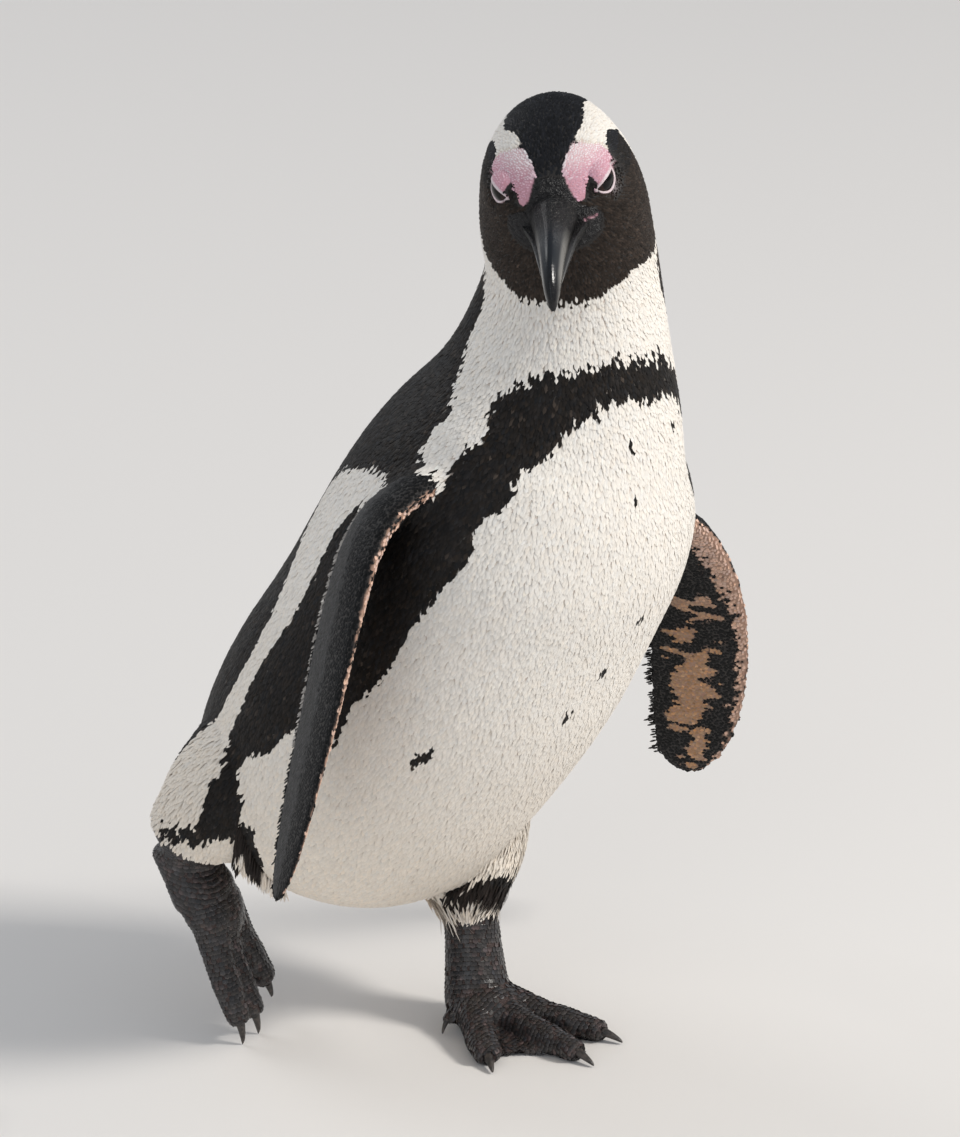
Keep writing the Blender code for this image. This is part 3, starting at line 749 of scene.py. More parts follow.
def marking(points, regions, outward):
    """The kind of finish at each point of the skin, which faces outward there."""
    station, around = body_place(points)
    round_, below, bare, crown, lid = face_zones(points)
    turned = np.abs(around)
    back = turned > np.interp(station, *zip(*BACK_EDGE))
    black = back | inside(BAND, around, station)
    for degrees, place, size in SPOTS:
        black |= np.hypot((around - degrees) * SPOT_DEGREE, (station - place) * SPOT_STATION) < size
    for line in LEG_STREAKS:
        black |= streak(line, turned, station)
    names = limb_names(regions)
    leg = regions == REGIONS.index("shank_left")
    black[leg] |= leg_ring(points[leg])
    on_head = station > HEAD_FROM
    mask = inside(list(MASK), around, station) & (below | (round_ < 38)) & ~bare
    black = np.where(on_head, back & (station < BACK_UNTIL) | mask | crown, black)
    kind = np.where(black | (names == "tail"), BLACK, WHITE)
    kind = np.where(on_head & bare & (station > BARE_FROM), PINK, kind)
    near = mirrored_head(points)
    kind = np.where(on_head & rough_zone(near) & ~(bare & (near[:, 0] > 9)), ROUGH, kind)
    kind = np.where(on_head & (gape_distance(near) < 0.85) & (head_place(points)[:, 0] > 0), PINK, kind)
    kind = np.where(on_head & (lid < 1.6), RIM, kind)
    for wing in WINGS:
        here = regions == REGIONS.index(wing)
        kind[here] = wing_kind(wing, points[here], outward[here])
    return np.where(np.isin(names, ("tarsus", "foot")), LEATHER, kind)

# %% Knobs on the rough skin, and the fold of the gape
KNOB_HEIGHT, FOLD_HEIGHT, FOLD_REACH = 0.00055, 0.00070, 1.3
beak_base = [in_head(sign * side, 0.036, up)
             for sign in (1, -1) for side, up in ((0.005, 0.004), (0.015, -0.009))]
refine(skin.data, beak_base, (0.0125,))
skin_points = points_of(skin.data)
near = mirrored_head(skin_points)
knobs = np.array([noise.noise(Vector(p) * 620) + 0.6 * noise.noise(Vector(p) * 1300) for p in skin_points])
fold = np.clip(1 - gape_distance(near) / FOLD_REACH, 0, 1) ** 0.6
lift = KNOB_HEIGHT * knobs * rough_zone(near) + FOLD_HEIGHT * fold
skin_points = skin_points + normals_of(skin.data) * lift[:, None]
move_points(skin.data, skin_points)
print("highest knob:", round(1000 * float(lift.max()), 2), "mm")

# %% Mark the skin
# The steep wall from a lid up to the cheek behind it is feathered, not bare
STEEP_EDGE, WALL_FROM_LID, WALL_REACH = 0.0013, 0.5, 13
region = regions_of(skin_points)
skin_kind = marking(skin_points, region, normals_of(skin.data))
ends = edges_of(skin.data)
steep = ends[np.linalg.norm(skin_points[ends[:, 0]] - skin_points[ends[:, 1]], axis=1) > STEEP_EDGE]
on_wall = np.zeros(len(skin_points), bool)
on_wall[steep.ravel()] = True
near = mirrored_head(skin_points)
turn = np.degrees(np.arctan2(near[:, 0], near[:, 1]))
on_wall &= (lid_distance(near) > WALL_FROM_LID) & (np.linalg.norm(near - EYE_CENTRE, axis=1) < WALL_REACH)
skin_kind[on_wall & ~inside(list(BARE), turn, near[:, 2]) & np.isin(skin_kind, (RIM, PINK))] = BLACK
print({name: int((skin_kind == i).sum()) for i, name in enumerate(KINDS)})

# %% [markdown]
# Feathers. A hair system could grow them, but hair has no solid, and feathers painted on the skin
# would leave the outline smooth. So every feather is a thin closed vane that lies along the body,
# tail-wards, over the roots of the next ones. First comes the lie, which is averaged over the skin so
# that it turns smoothly. Then the roots are strewn with an even spacing, smallest on the face.

# %% The lie of the feathers
def step_between(low, high, x):
    t = np.clip((x - low) / (high - low), 0, 1)
    return t * t * (3 - 2 * t)


TAIL_ANGLE = math.radians(26)
TAIL_DOWN = np.array(TRUNK @ Vector((0, -math.sin(TAIL_ANGLE), -math.cos(TAIL_ANGLE))))
normals = normals_of(skin.data)
station, around = body_place(skin_points)
place = head_place(skin_points)
ups = COURSE[4][np.clip((station / COURSE_STEP).astype(int), 0, len(COURSE[0]) - 1)]
headwards = step_between(11.0, 12.6, station)
from_bill = step_between(-22, 18, place[:, 1]) * 1.6
lie = -ups - (headwards * from_bill)[:, None] * np.array(HEAD.col[1])
for side in ("left", "right"):
    for limb in ("shank", "tarsus"):
        lie[region == REGIONS.index(f"{limb}_{side}")] = -hock(side)[1]
    toes = np.array(box_middle(f"claw_{side}_middle") - box_middle(f"foot_{side}"))
    lie[region == REGIONS.index(f"foot_{side}")] = toes / np.linalg.norm(toes)
    wing = f"wing_{side}"
    here = region == REGIONS.index(wing)
    _, _, leading, out = wing_place(wing, skin_points[here])
    along = wing_axes(wing, np.zeros(1))[2]
    under = ((out * normals[here]).sum(1) < 0)[:, None]
    lie[here] = np.where(under, along * 0.55 - leading, along - 0.35 * leading)
lie[region == REGIONS.index("tail")] = TAIL_DOWN
lie = square_to(averaged(unit(lie), ends, 12, 0.5), normals)
print("the tail's feathers point to", TAIL_DOWN.round(2).tolist())

# %% Strew places over the skin
STREWN = 3.2  # times as many places as there is room for
spacing_on = averaged(per_region(trunk=0.00112, neck=0.00105, head=0.00082, wing=0.00110, tail=0.0016,
                                 shank=0.00115, tarsus=0.00155, foot=0.00155), ends, 8)
mesh = skin.data
mesh.calc_loop_triangles()
triangles = np.zeros(len(mesh.loop_triangles) * 3, np.int64)
mesh.loop_triangles.foreach_get("vertices", triangles)
triangles = triangles.reshape(-1, 3)
corners = skin_points[triangles]
areas = np.linalg.norm(np.cross(corners[:, 1] - corners[:, 0], corners[:, 2] - corners[:, 0]), axis=1) / 2
bare_spot = np.isin(skin_kind, (RIM, ROUGH)) | ((skin_kind == PINK) & (place[:, 2] < 5))
wanted = areas / spacing_on[triangles].mean(1) ** 2 * ~bare_spot[triangles].any(1)
print("skin area:", round(areas.sum(), 4), "m2")
dice = np.random.default_rng(7)
count = int(wanted.sum() * STREWN)
chosen = dice.choice(len(triangles), count, p=wanted / wanted.sum())
shares = dice.dirichlet((1, 1, 1), count)


def carried(values):
    """Values of the skin's points, carried to the strewn places on its triangles."""
    picked = values[triangles[chosen]]
    return (picked * (shares if values.ndim == 1 else shares[:, :, None])).sum(1)

# %% Keep those that leave room for each other
ROW = 0.0021  # from one row of scales to the next


def spaced(places, spacing):
    """Which of the places stay, so that none lies nearer to another than its spacing."""
    near_by = kdtree.KDTree(len(places))
    for i, place in enumerate(places):
        near_by.insert(place, i)
    near_by.balance()
    free = np.ones(len(places), bool)
    kept = []
    for i in range(len(places)):
        if free[i]:
            kept.append(i)
            for _, j, _ in near_by.find_range(places[i], spacing[i]):
                free[j] = False
    return np.array(kept)


strewn = carried(skin_points)
kept = spaced(strewn, carried(spacing_on))
chosen, shares, roots = chosen[kept], shares[kept], strewn[kept]
root_out, root_lie = unit(carried(normals)), carried(lie)
root_region = region[triangles[chosen, 0]]
names = limb_names(root_region)
leather = np.isin(names, ("tarsus", "foot"))
# The scales of the legs lie in rows
for limb in ("tarsus_left", "tarsus_right", "foot_left", "foot_right"):
    here = root_region == REGIONS.index(limb)
    down_limb = unit(root_lie[here].mean(0))
    row = roots[here] @ down_limb
    roots[here] += root_lie[here] * (np.round(row / ROW) * ROW - row)[:, None]
root_lie = square_to(root_lie, root_out)
print("roots:", len(roots), "of", count)

# %% [markdown]
# A vane has a pointed end at either side and two or more three-sided sections between, so it is
# closed and its edges can drop below its crest. Making hundreds of thousands of objects, or calling
# an operator for each, would take hours. So all the vanes of one piece are worked out together in
# arrays, and become one mesh. Flat shading shows each vane's own facets, like barbs catching light.

# %% Vanes from arrays
surface = BVHTree.FromObject(skin, bpy.context.evaluated_depsgraph_get())


def on_skin(points):
    """The nearest places on the skin, and its outward directions there."""
    found = [surface.find_nearest(Vector(p))[:2] for p in points]
    return np.array([f[0] for f in found]), np.array([f[1] for f in found])


SMALL = ((0.30, 0.9), (0.76, 0.85))
BROAD = ((0.22, 1.0), (0.78, 1.0))
LONG = ((0.03, 0.45), (0.18, 0.85), (0.50, 1.0), (0.78, 0.97), (0.92, 0.74), (0.98, 0.40))


def vanes(root, out, lie, length, width, rise, thick, sections=SMALL, course=None, cup=0.10, sunk=0.0003):
    """Closed three-sided vanes, as points and triangles. rise is the tip's height above the skin.

    sections holds (share of the length, share of the width) between the two pointed ends. course is
    (middle, tip) for vanes that stand free of the skin.
    """
    across = np.cross(out, lie)
    if course is None:
        middle, middle_out = on_skin(root + lie * (0.5 * length)[:, None])
        tip, tip_out = on_skin(root + lie * length[:, None])
    else:
        (middle, tip), middle_out, tip_out = course, out, out

    def spine(t):
        base = root * (1 - t) * (1 - 2 * t) + middle * 4 * t * (1 - t) + tip * t * (2 * t - 1)
        normal = unit(out * (1 - t) * (1 - 2 * t) + middle_out * 4 * t * (1 - t) + tip_out * t * (2 * t - 1))
        height = (rise + sunk) * (1 - (1 - t) ** 1.7) - sunk
        return base + normal * height[:, None], normal

    rows = [spine(0.0)[0]]
    for t, share in sections:
        centre, normal = spine(t)
        half = across * (width * share / 2)[:, None]
        drop = normal * (width * share)[:, None] * cup
        crest = normal * (thick * (1 - 0.4 * t))[:, None]
        rows += [centre - half - drop, centre + crest, centre + half - drop]
    rows.append(spine(1.0)[0])
    points = np.stack(rows, 1)
    last = 3 * len(sections) + 1
    faces = [(0, 1, 2), (0, 2, 3), (0, 3, 1)]
    for a in range(1, last - 3, 3):
        for i, j in ((0, 1), (1, 2), (2, 0)):
            faces += [(a + i, a + 3 + i, a + 3 + j), (a + i, a + 3 + j, a + j)]
    a = last - 3
    faces += [(a, last, a + 1), (a + 1, last, a + 2), (a + 2, last, a)]
    each = points.shape[1]
    every = np.array(faces)[None] + (np.arange(len(points)) * each)[:, None, None]
    shares = np.array([0] + [t for t, _ in sections for _ in range(3)] + [1.0])
    return points.reshape(-1, 3), every.reshape(-1, 3), each, shares


print("points of a small vane:", 3 * len(SMALL) + 2, "and of a quill:", 3 * len(LONG) + 2)

# %% A mesh from arrays
def mesh_from_arrays(name, points, faces):
    mesh = bpy.data.meshes.new(name)
    mesh.vertices.add(len(points))
    mesh.vertices.foreach_set("co", points.ravel().astype(np.float32))
    mesh.loops.add(len(faces) * 3)
    mesh.loops.foreach_set("vertex_index", faces.ravel().astype(np.int32))
    mesh.polygons.add(len(faces))
    mesh.polygons.foreach_set("loop_start", np.arange(0, len(faces) * 3, 3, dtype=np.int32))
    mesh.update(calc_edges=True)
    mesh.polygons.foreach_set("use_smooth", np.zeros(len(faces), bool))
    return mesh

# %% [markdown]
# Finishes are made of shader nodes, which could be joined by hand in the shader editor. In code, a
# small class that wraps a node's socket lets their maths be written as ordinary sums. The feathers'
# colours are carried by the vanes themselves, so one finish serves many shades.

# %% Sums of shader sockets
class Socket:
    """A node's output that can be added and multiplied."""

    def __init__(self, build, link):
        self.build, self.link = build, link

    def maths(self, operation, *others):
        return self.build.node("ShaderNodeMath", {"operation": operation}, [self, *others])

    def __add__(self, other): return self.maths("ADD", other)
    def __radd__(self, other): return self.maths("ADD", other)
    def __mul__(self, other): return self.maths("MULTIPLY", other)
    def __rmul__(self, other): return self.maths("MULTIPLY", other)

# %% Finishes built from nodes
class Finish:
    """A new material, whose nodes are made by one method."""

    def __init__(self, name, **values):
        self.material = bpy.data.materials.new(name)
        self.material.use_nodes = True
        self.tree = self.material.node_tree
        self.shader = self.tree.nodes["Principled BSDF"]
        for socket, value in values.items():
            self.shader.inputs[socket.replace("_", " ")].default_value = value

    def node(self, kind, settings, values, output=0):
        made = self.tree.nodes.new(kind)
        for name, value in settings.items():
            if name == "stops":
                ramp = made.color_ramp
                while len(ramp.elements) < len(value):
                    ramp.elements.new(1.0)
                for element, (at, colour) in zip(ramp.elements, value):
                    element.position, element.color = at, (*colour, 1.0)
            else:
                setattr(made, name, value)
        named = values.items() if isinstance(values, dict) else enumerate(values)
        for key, value in named:
            if isinstance(value, Socket):
                self.tree.links.new(value.link, made.inputs[key])
            elif value is not None:
                made.inputs[key].default_value = value
        return Socket(self, made.outputs[output])

    def read(self, attribute, output=0):
        return self.node("ShaderNodeAttribute", {"attribute_name": attribute}, {}, output)

    def place(self):
        return self.node("ShaderNodeTexCoord", {}, {}, "Object")

    def speckle(self, where, scale, detail=2.0):
        return self.node("ShaderNodeTexNoise", {}, {"Vector": where, "Scale": scale, "Detail": detail})

    def blend(self, factor, a, b, how="MIX"):
        return self.node("ShaderNodeMix", {"data_type": "RGBA", "blend_type": how},
                         {"Factor": factor, 6: a, 7: b}, 2)

    def remap(self, value, low, high, new_low=0.0, new_high=1.0):
        return self.node("ShaderNodeMapRange", {}, [value, low, high, new_low, new_high])

    def feed(self, socket, value):
        self.tree.links.new(value.link, self.shader.inputs[socket])

    def bump(self, height, strength, distance=0.001):
        made = self.node("ShaderNodeBump", {}, {"Height": height, "Strength": strength, "Distance": distance})
        self.feed("Normal", made)

# %% Finishes of the feathers and scales
def feather_finish(name, roughness, specular, fleck):
    """Feathers: each has its own colour, with fine barbs in the bump and a little mottling."""
    finish = Finish(name, Roughness=roughness, Specular_IOR_Level=specular)
    where = finish.place()
    own = finish.read("plume", "Color")
    mottled = finish.remap(finish.speckle(where, 1100, 3.0), 0.35, 0.75)
    finish.feed("Base Color", finish.blend(mottled * 0.35, own, fleck, "MULTIPLY"))
    uneven = finish.speckle(where, 300, 2.0)
    finish.feed("Roughness", finish.remap(uneven, 0.3, 0.7, roughness - 0.08, roughness + 0.10))
    finish.bump(finish.speckle(where, 2600, 2.0), 0.20, 0.0003)
    return finish.material


FINISHES = {
    "black": (feather_finish("black_plumage", 0.50, 0.16, (0.55, 0.50, 0.46, 1)), "black_feather"),
    "white": (feather_finish("white_plumage", 0.55, 0.25, (0.93, 0.90, 0.86, 1)), "white_feather"),
    "wing": (feather_finish("wing_plumage", 0.46, 0.12, (0.60, 0.58, 0.56, 1)), "black_feather"),
    "scale": (feather_finish("leg_scales", 0.28, 0.42, (0.45, 0.42, 0.40, 1)), "foot_skin"),
}
print("finishes:", [material.name for material, _ in FINISHES.values()])

# %% [markdown]
# Feathers differ with their place: plush on the face, longest on the rump and tail, scale-like on a
# flipper. Sizes come from a short table, with a little chance so that no two rows agree. A feather
# takes its colour from the place where its visible end lies, and stray ends make each marking's edge
# ragged, as it is in life. Painting the edge ragged instead would cut through single feathers.

# %% Size of every feather
# length, width, rise, thickness in millimetres, and how far the edges drop, in widths
SIZES = {"trunk": (6.2, 2.1, 0.34, 0.03, 0.04), "neck": (5.6, 1.9, 0.42, 0.03, 0.045),
         "head": (3.0, 1.1, 0.42, 0.03, 0.05), "wing": (2.8, 1.7, 0.22, 0.05, 0.04),
         "tail": (6.5, 2.4, 0.7, 0.08, 0.06), "shank": (5.6, 1.7, 0.9, 0.05, 0.07),
         "tarsus": (2.8, 2.5, 0.22, 0.20, -0.06), "foot": (2.8, 2.5, 0.22, 0.20, -0.06)}
size = np.array([SIZES[n] for n in names]) / 1000
station, around = body_place(roots)
face = mirrored_head(roots)
up_neck = (step_between(10.2, 12.2, station) * np.isin(names, ("neck", "head")))[:, None]
neck_size, head_size = (np.array(SIZES[n]) / 1000 for n in ("neck", "head"))
size = np.where(up_neck > 0, neck_size * (1 - up_neck) + head_size * up_neck, size)
dice = np.random.default_rng(11)
jitter = dice.normal(size=(len(roots), 4)).clip(-2.2, 2.2)
by_eye = np.clip(lid_distance(face) - 1.6, 0.6, 20) / 1000
size[:, 0] = np.where(station > 12, np.minimum(size[:, 0], by_eye + 0.0002), size[:, 0])
# The tip of the right wing ends in longer ones
here = np.flatnonzero(root_region == REGIONS.index("wing_right"))
size[here, 0] *= 1 + 1.3 * step_between(0.93, 0.99, wing_place("wing_right", roots[here])[0])
size[:, 0] *= 1 + 0.12 * jitter[:, 2] * ~leather
size[:, 2] *= 1 + 0.22 * jitter[:, 3]
root_across = np.cross(root_out, root_lie)
turned_lie = unit(root_lie + root_across * (0.10 * jitter[:, 1] * ~leather)[:, None])
print("mean length:", round(1000 * float(size[:, 0].mean()), 2), "mm")

# %% Kind of every feather
# Teeth along the markings follow the lie
ragged = np.select([(names == "head") & (face[:, 1] > 6), names == "head", names == "wing", leather],
                   [0.00030, 0.0008, 0.0005, 0.0], 0.0021)
teeth = np.array([
    noise.noise(Vector((a * 0.42, s * 0.55, 1))) + 0.7 * noise.noise(Vector((a * 1.05, s * 1.1, 5)))
    for s, a in zip(station, around)])
size[skin_kind[triangles[chosen, 0]] == PINK] *= np.array((0.5, 0.7, 0.5, 1, 1))
clump = np.array([noise.noise(Vector(p) * 260) + 0.5 * noise.noise(Vector(p) * 700) for p in roots])
stray = dice.standard_t(3, len(roots)).clip(-3, 3)
read_at = (roots + root_lie * ((0.55 * stray + 2.4 * teeth) * ragged + 0.78 * size[:, 0])[:, None]
           + root_across * (jitter[:, 1] * 0.30 * ragged)[:, None])
kind = marking(read_at, root_region, root_out)
print({name: int((kind == i).sum()) for i, name in enumerate(KINDS)})

# %% Colour of every feather
def tinted(base, spread, n, warm=0.0):
    """n colours round a base: lighter or darker, and some warmer."""
    light = np.exp(dice.normal(0, spread, (n, 1)))
    tint = 1 + warm * dice.normal(0, 1, (n, 1)) * np.array((1.0, 0.2, -0.8))
    return np.clip(np.array(base) * light * tint, 0.001, 0.95)


def mix_of(one, other, share):
    return one * (1 - share) + other * share


def body_colours(n):
    """Black with brown clumps and flecks, painted sunlight on the chin, a painted sky reflection on the
    crown; white, creamy below; pink by the eyes.
    """
    colour = tinted((0.0125, 0.0105, 0.0095), 0.30, n, 0.10)
    brown = step_between(0.2, 0.9, clump)[:, None] * 0.6
    # Painted sunlight: the lower part of the mask is a lighter brown, as black feathers look where the sun
    # falls on them
    sunlit_throat = ((face[:, 2] < 2) & (station > HEAD_FROM) & (face[:, 1] > -10))[:, None]
    colour = mix_of(colour, tinted((0.024, 0.018, 0.014), 0.3, n), brown)
    colour = np.where(sunlit_throat, tinted((0.024, 0.017, 0.013), 0.35, n), colour)
    fleck = dice.random((n, 1)) < 0.02
    colour = np.where(fleck, tinted((0.040, 0.031, 0.025), 0.3, n), colour)
    # Painted sky reflection: the top of the head gets a bluish black
    sky_sheen_cap = (face[:, 2] > 11)[:, None] & (station > 14)[:, None]
    colour = np.where(sky_sheen_cap, tinted((0.0085, 0.0092, 0.0115), 0.3, n), colour)
    white = tinted((0.80, 0.76, 0.705), 0.035, n, 0.012)
    creamy = step_between(6.5, 2.0, station)[:, None] * 0.7
    white = mix_of(white, tinted((0.755, 0.675, 0.575), 0.045, n, 0.02), creamy)
    colour = np.where((kind == WHITE)[:, None], white, colour)
    blush = step_between(20.5, 8.0, face[:, 2] + 1.2 * jitter[:, 2])[:, None]
    pink, pale = tinted((0.66, 0.39, 0.475), 0.06, n), tinted((0.82, 0.76, 0.77), 0.04, n)
    return np.where((kind == PINK)[:, None], mix_of(pale, pink, blush), colour)


plume = body_colours(len(roots))
print("mean colour of the body:", plume.mean(0).round(3).tolist())

# %% Colours of the wings and legs
def wing_colours(colour, n):
    """Grey above, partly their own dark colour and partly a painted sheen, with a dark leading edge. The pale
    feathers are pinker by the body and in front.
    """
    near_root = np.zeros(n)
    for wing in WINGS:
        here = root_region == REGIONS.index(wing)
        share, across, _, out = wing_place(wing, roots[here])
        near_root[here] = np.maximum(step_between(0.55, 0.2, share), 0.75 * step_between(0.78, 0.88, across))
        above = (out * root_out[here]).sum(1) > 0
        # Painted sheen: the colour over the trailing part above is partly the feathers' own dark tone, partly
        # a sky sheen painted in
        grey_with_sheen = tinted((0.056, 0.0555, 0.056), 0.14, here.sum())
        dark = tinted((0.0085, 0.0088, 0.0095), 0.25, here.sum())
        edge = step_between(0.48, 0.64, across + 0.04 * jitter[here, 2])[:, None]
        colour[here] = np.where(above[:, None], mix_of(grey_with_sheen, dark, edge), dark)
    tan = tinted((0.44, 0.265, 0.155), 0.16, n, 0.08)
    pinkish = tinted((0.70, 0.485, 0.395), 0.10, n, 0.05)
    return np.where((kind == TAN)[:, None], mix_of(tan, pinkish, near_root[:, None]), colour)


def leg_colours(colour, n):
    scale = tinted((0.0066, 0.0060, 0.0060), 0.26, n, 0.05)
    rosy = step_between(0.25, 0.6, clump)[:, None] * 0.13
    scale = mix_of(scale, tinted((0.075, 0.048, 0.045), 0.2, n), rosy)
    return np.where(leather[:, None], scale, colour)


plume = leg_colours(wing_colours(plume, len(roots)), len(roots))
print("mean colour with wings and legs:", plume.mean(0).round(3).tolist())

# %% [markdown]
# Every vane also gets a place on one flat chart of the bird, so that its colours can later be baked
# into a picture. Unwrapping by seams would scatter hundreds of thousands of islands over it. The
# numbers that place the markings serve here too: the body by degrees and height, each limb beside it.

# %% The skin laid flat
PATCH = 0.003  # how much of the chart one vane takes


def laid_flat(points, regions):
    """A flat chart of the skin: the body by degrees and height, each limb beside it on its own."""
    station, around = body_place(points)
    u, v = 0.02 + 0.60 * (around + 180) / 360, 0.02 + 0.96 * height_of(station) / HEIGHTS[-1]
    for number, wing in enumerate(WINGS):
        here = regions == REGIONS.index(wing)
        share, across, _, out = wing_place(wing, points[here])
        middle = wing_axes(wing, np.zeros(1))[0]
        under = ((points[here] - middle) * out).sum(1) < np.interp(share, *np.array(WING_EDGES).T[[0, 3]])
        u[here] = 0.65 + 0.17 * under + 0.14 * np.clip(across, 0, 1)
        v[here] = 0.02 + 0.26 * number + 0.24 * np.clip(share, 0, 1)
    for number, limb in enumerate(("tail", "shank_left", "shank_right", "tarsus_left", "tarsus_right",
                                   "foot_left", "foot_right")):
        here = regions == REGIONS.index(limb)
        low, high = (np.array(corner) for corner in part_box(limb))
        share = (points[here] - low) / (high - low)
        turn = np.arctan2(share[:, 0] - 0.5, share[:, 1] - 0.5) / (2 * math.pi) + 0.5
        flat = limb.startswith("foot")
        u[here] = 0.65 + 0.16 * (number % 2) + 0.14 * (share[:, 0] if flat else turn)
        v[here] = 0.55 + 0.11 * (number // 2) + 0.10 * (share[:, 1] if flat else share[:, 2])
    return np.clip(np.stack([u, v], 1), 0.004, 0.996)

# %% One piece of the coat
LOWEST = 0.0001  # no vane dips into the ground
ROOT_SHADE, TIP_SHADE = 0.9, 1.15
BRIGHTEST = 0.95


def coat_piece(title, finish, root, lie, across, regions, colours, made_vanes, length, width, tip=TIP_SHADE):
    """Vanes as one object that is coloured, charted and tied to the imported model's root."""
    points, faces, each, shares = made_vanes
    points[:, 2] = np.maximum(points[:, 2], LOWEST)
    made = object_of(title, mesh_from_arrays(title, points, faces))
    down_vane = np.tile(np.interp(shares, (0, 1), (ROOT_SHADE, tip)), len(root))[:, None]
    shade = np.clip(np.repeat(colours, each, 0) * down_vane, 0, BRIGHTEST)
    shade = np.concatenate([shade, np.ones((len(shade), 1))], 1)
    paint = made.data.color_attributes.new("plume", "FLOAT_COLOR", "POINT")
    paint.data.foreach_set("color", shade.ravel().astype(np.float32))
    away = points - np.repeat(root, each, 0)
    side = (away * np.repeat(across, each, 0)).sum(1) / np.repeat(width, each)
    forth = (away * np.repeat(lie, each, 0)).sum(1) / np.repeat(length, each) - 0.5
    uv = np.repeat(laid_flat(root, regions), each, 0) + np.stack([side, forth], 1) * PATCH
    layer = made.data.uv_layers.new(name="OFBake")
    layer.data.foreach_set("uv", uv[faces.ravel()].ravel().astype(np.float32))
    made.data.materials.append(FINISHES[finish][0])
    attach(made, "root")
    print(title, len(root), "vanes,", len(faces), "triangles")
    return made


def plumage(title, pick, finish, sections=SMALL, sunk=0.0003, tip=TIP_SHADE):
    """The picked feathers, lying on the skin."""
    length, width, rise, thick, cup = size[pick].T
    made = vanes(roots[pick], root_out[pick], turned_lie[pick], length, width, rise, thick, sections, None,
                 cup[:, None] * 1000, sunk)
    return coat_piece(title, finish, roots[pick], turned_lie[pick], root_across[pick], root_region[pick],
                      plume[pick], made, length, width, tip)


def standing(title, finish, base, out, lie, course, length, width, rise, thick, regions, colours,
             sections=SMALL, cup=0.10, tip=TIP_SHADE):
    """Feathers that stand free of the skin: course holds their middles and tips."""
    each = np.full(len(base), 1.0)
    made = vanes(base, out, lie, length, width, rise * each, thick * each, sections, course, cup)
    return coat_piece(title, finish, base, lie, np.cross(out, lie), regions, colours, made, length, width,
                      tip)

# %% Plumage of the body and head
TAIL_ROOT = np.array(in_trunk(0, -0.051, -0.080))
TAIL_SKIRT = 0.045  # small feathers reach this far down the tail
left = around > 0
on_head = (names == "head") | ((station >= 11.2) & (names == "neck"))
on_body = np.isin(names, ("trunk", "neck", "shank", "tail")) & ~on_head
tail_skirt = (names != "tail") | ((roots - TAIL_ROOT) @ TAIL_DOWN < TAIL_SKIRT)
levels = {"shoulder": station > 7.3, "middle": (station > 4.4) & (station <= 7.3), "low": station <= 4.4}
for colour, shade in (("black", BLACK), ("white", WHITE)):
    for level, there in levels.items():
        for side, here in (("left", left), ("right", ~left)):
            plumage(f"{colour}_{level}_{side}", on_body & there & here & (kind == shade) & tail_skirt, colour)
    plumage(f"{colour}_head", on_head & (kind == shade), colour)
plumage("brow_down", on_head & (kind == PINK) & (gape_distance(face) > 3), "white")

# %% Plumage of the wings, and the scales of the legs
for side in ("left", "right"):
    here = root_region == REGIONS.index(f"wing_{side}")
    plumage(f"wing_coat_{side}", here, "wing")
    here = leather & np.array([name.endswith(side) for name in REGIONS])[root_region]
    # Each scale goes from nine tenths of its colour at the root to nine times at its end: partly the pale
    # skin between the scales, partly a painted highlight on their raised edges
    plumage(f"leg_scales_{side}", here, "scale", BROAD, 0.0002, 9.0)

# %% [markdown]
# Tail feathers are stiff and narrow, longest in the middle. They lie in a shallow fan over and under
# the tail's skin. They could be strewn like the others, but here each one shows, so they are set out
# by count, and each is a longer vane with more sections.

# %% Tail feathers
TAIL_LENGTH = 0.105
# Share of the length, half width and half thickness there in millimetres
TAIL_SHAPE = ((0.0, 34, 24), (0.30, 30, 15), (0.55, 25, 8.5), (0.80, 17.5, 4.8), (0.94, 9, 2.8),
              (1.0, 2, 1.2))
QUILLS_EACH_SIDE = 7
QUILL_FROM = 0.18


def tail_feathers():
    """Base, middle, tip and outward direction of each quill, in two layers."""
    side = np.array(TRUNK.col[0])
    over = np.cross(side, TAIL_DOWN)
    shares, wides, thicks = np.array(TAIL_SHAPE).T
    rows = []
    for layer in (1, -1):
        for number in range(-QUILLS_EACH_SIDE, QUILLS_EACH_SIDE + 1):
            beside = abs(number) / QUILLS_EACH_SIDE
            end = 1.0 - 0.52 * beside ** 1.7
            tip_side = math.copysign(np.interp(end, shares, wides) * 0.88, number) if number else 0.0
            places = []
            for t in (QUILL_FROM, (QUILL_FROM + end) / 2, end):
                lateral = tip_side * (0.45 + 0.55 * (t - QUILL_FROM) / (end - QUILL_FROM))
                wide, thick = np.interp(t, shares, wides), np.interp(t, shares, thicks)
                bulge = math.sqrt(max(0.0, 1 - (lateral / (wide + 1)) ** 2))
                lift = thick * bulge - 0.6 + 0.25 * (1 - beside)
                places.append(TAIL_ROOT + TAIL_DOWN * TAIL_LENGTH * t + side * lateral / 1000
                              + over * layer * max(lift, 0.3) / 1000)
            rows.append((*places, over * layer))
    return [np.array(column) for column in zip(*rows)]


base, middle, tip, out = tail_feathers()
lie_of, count = unit(tip - base), len(base)
standing("tail_feathers", "black", base, square_to(out, lie_of), lie_of, (middle, tip),
         np.linalg.norm(tip - base, axis=1), np.full(count, 0.0072), 0.0004, 0.0005,
         np.full(count, REGIONS.index("tail")), tinted((0.016, 0.014, 0.013), 0.25, count), LONG, 0.06, 1.6)

# %% [markdown]
# Two fringes stand free of the skin. One row of short stiff feathers makes the flipper's trailing
# edge. Soft longer ones hang over the legs where the coat ends. The outline shows them most, so a
# bump in the finish would not do.

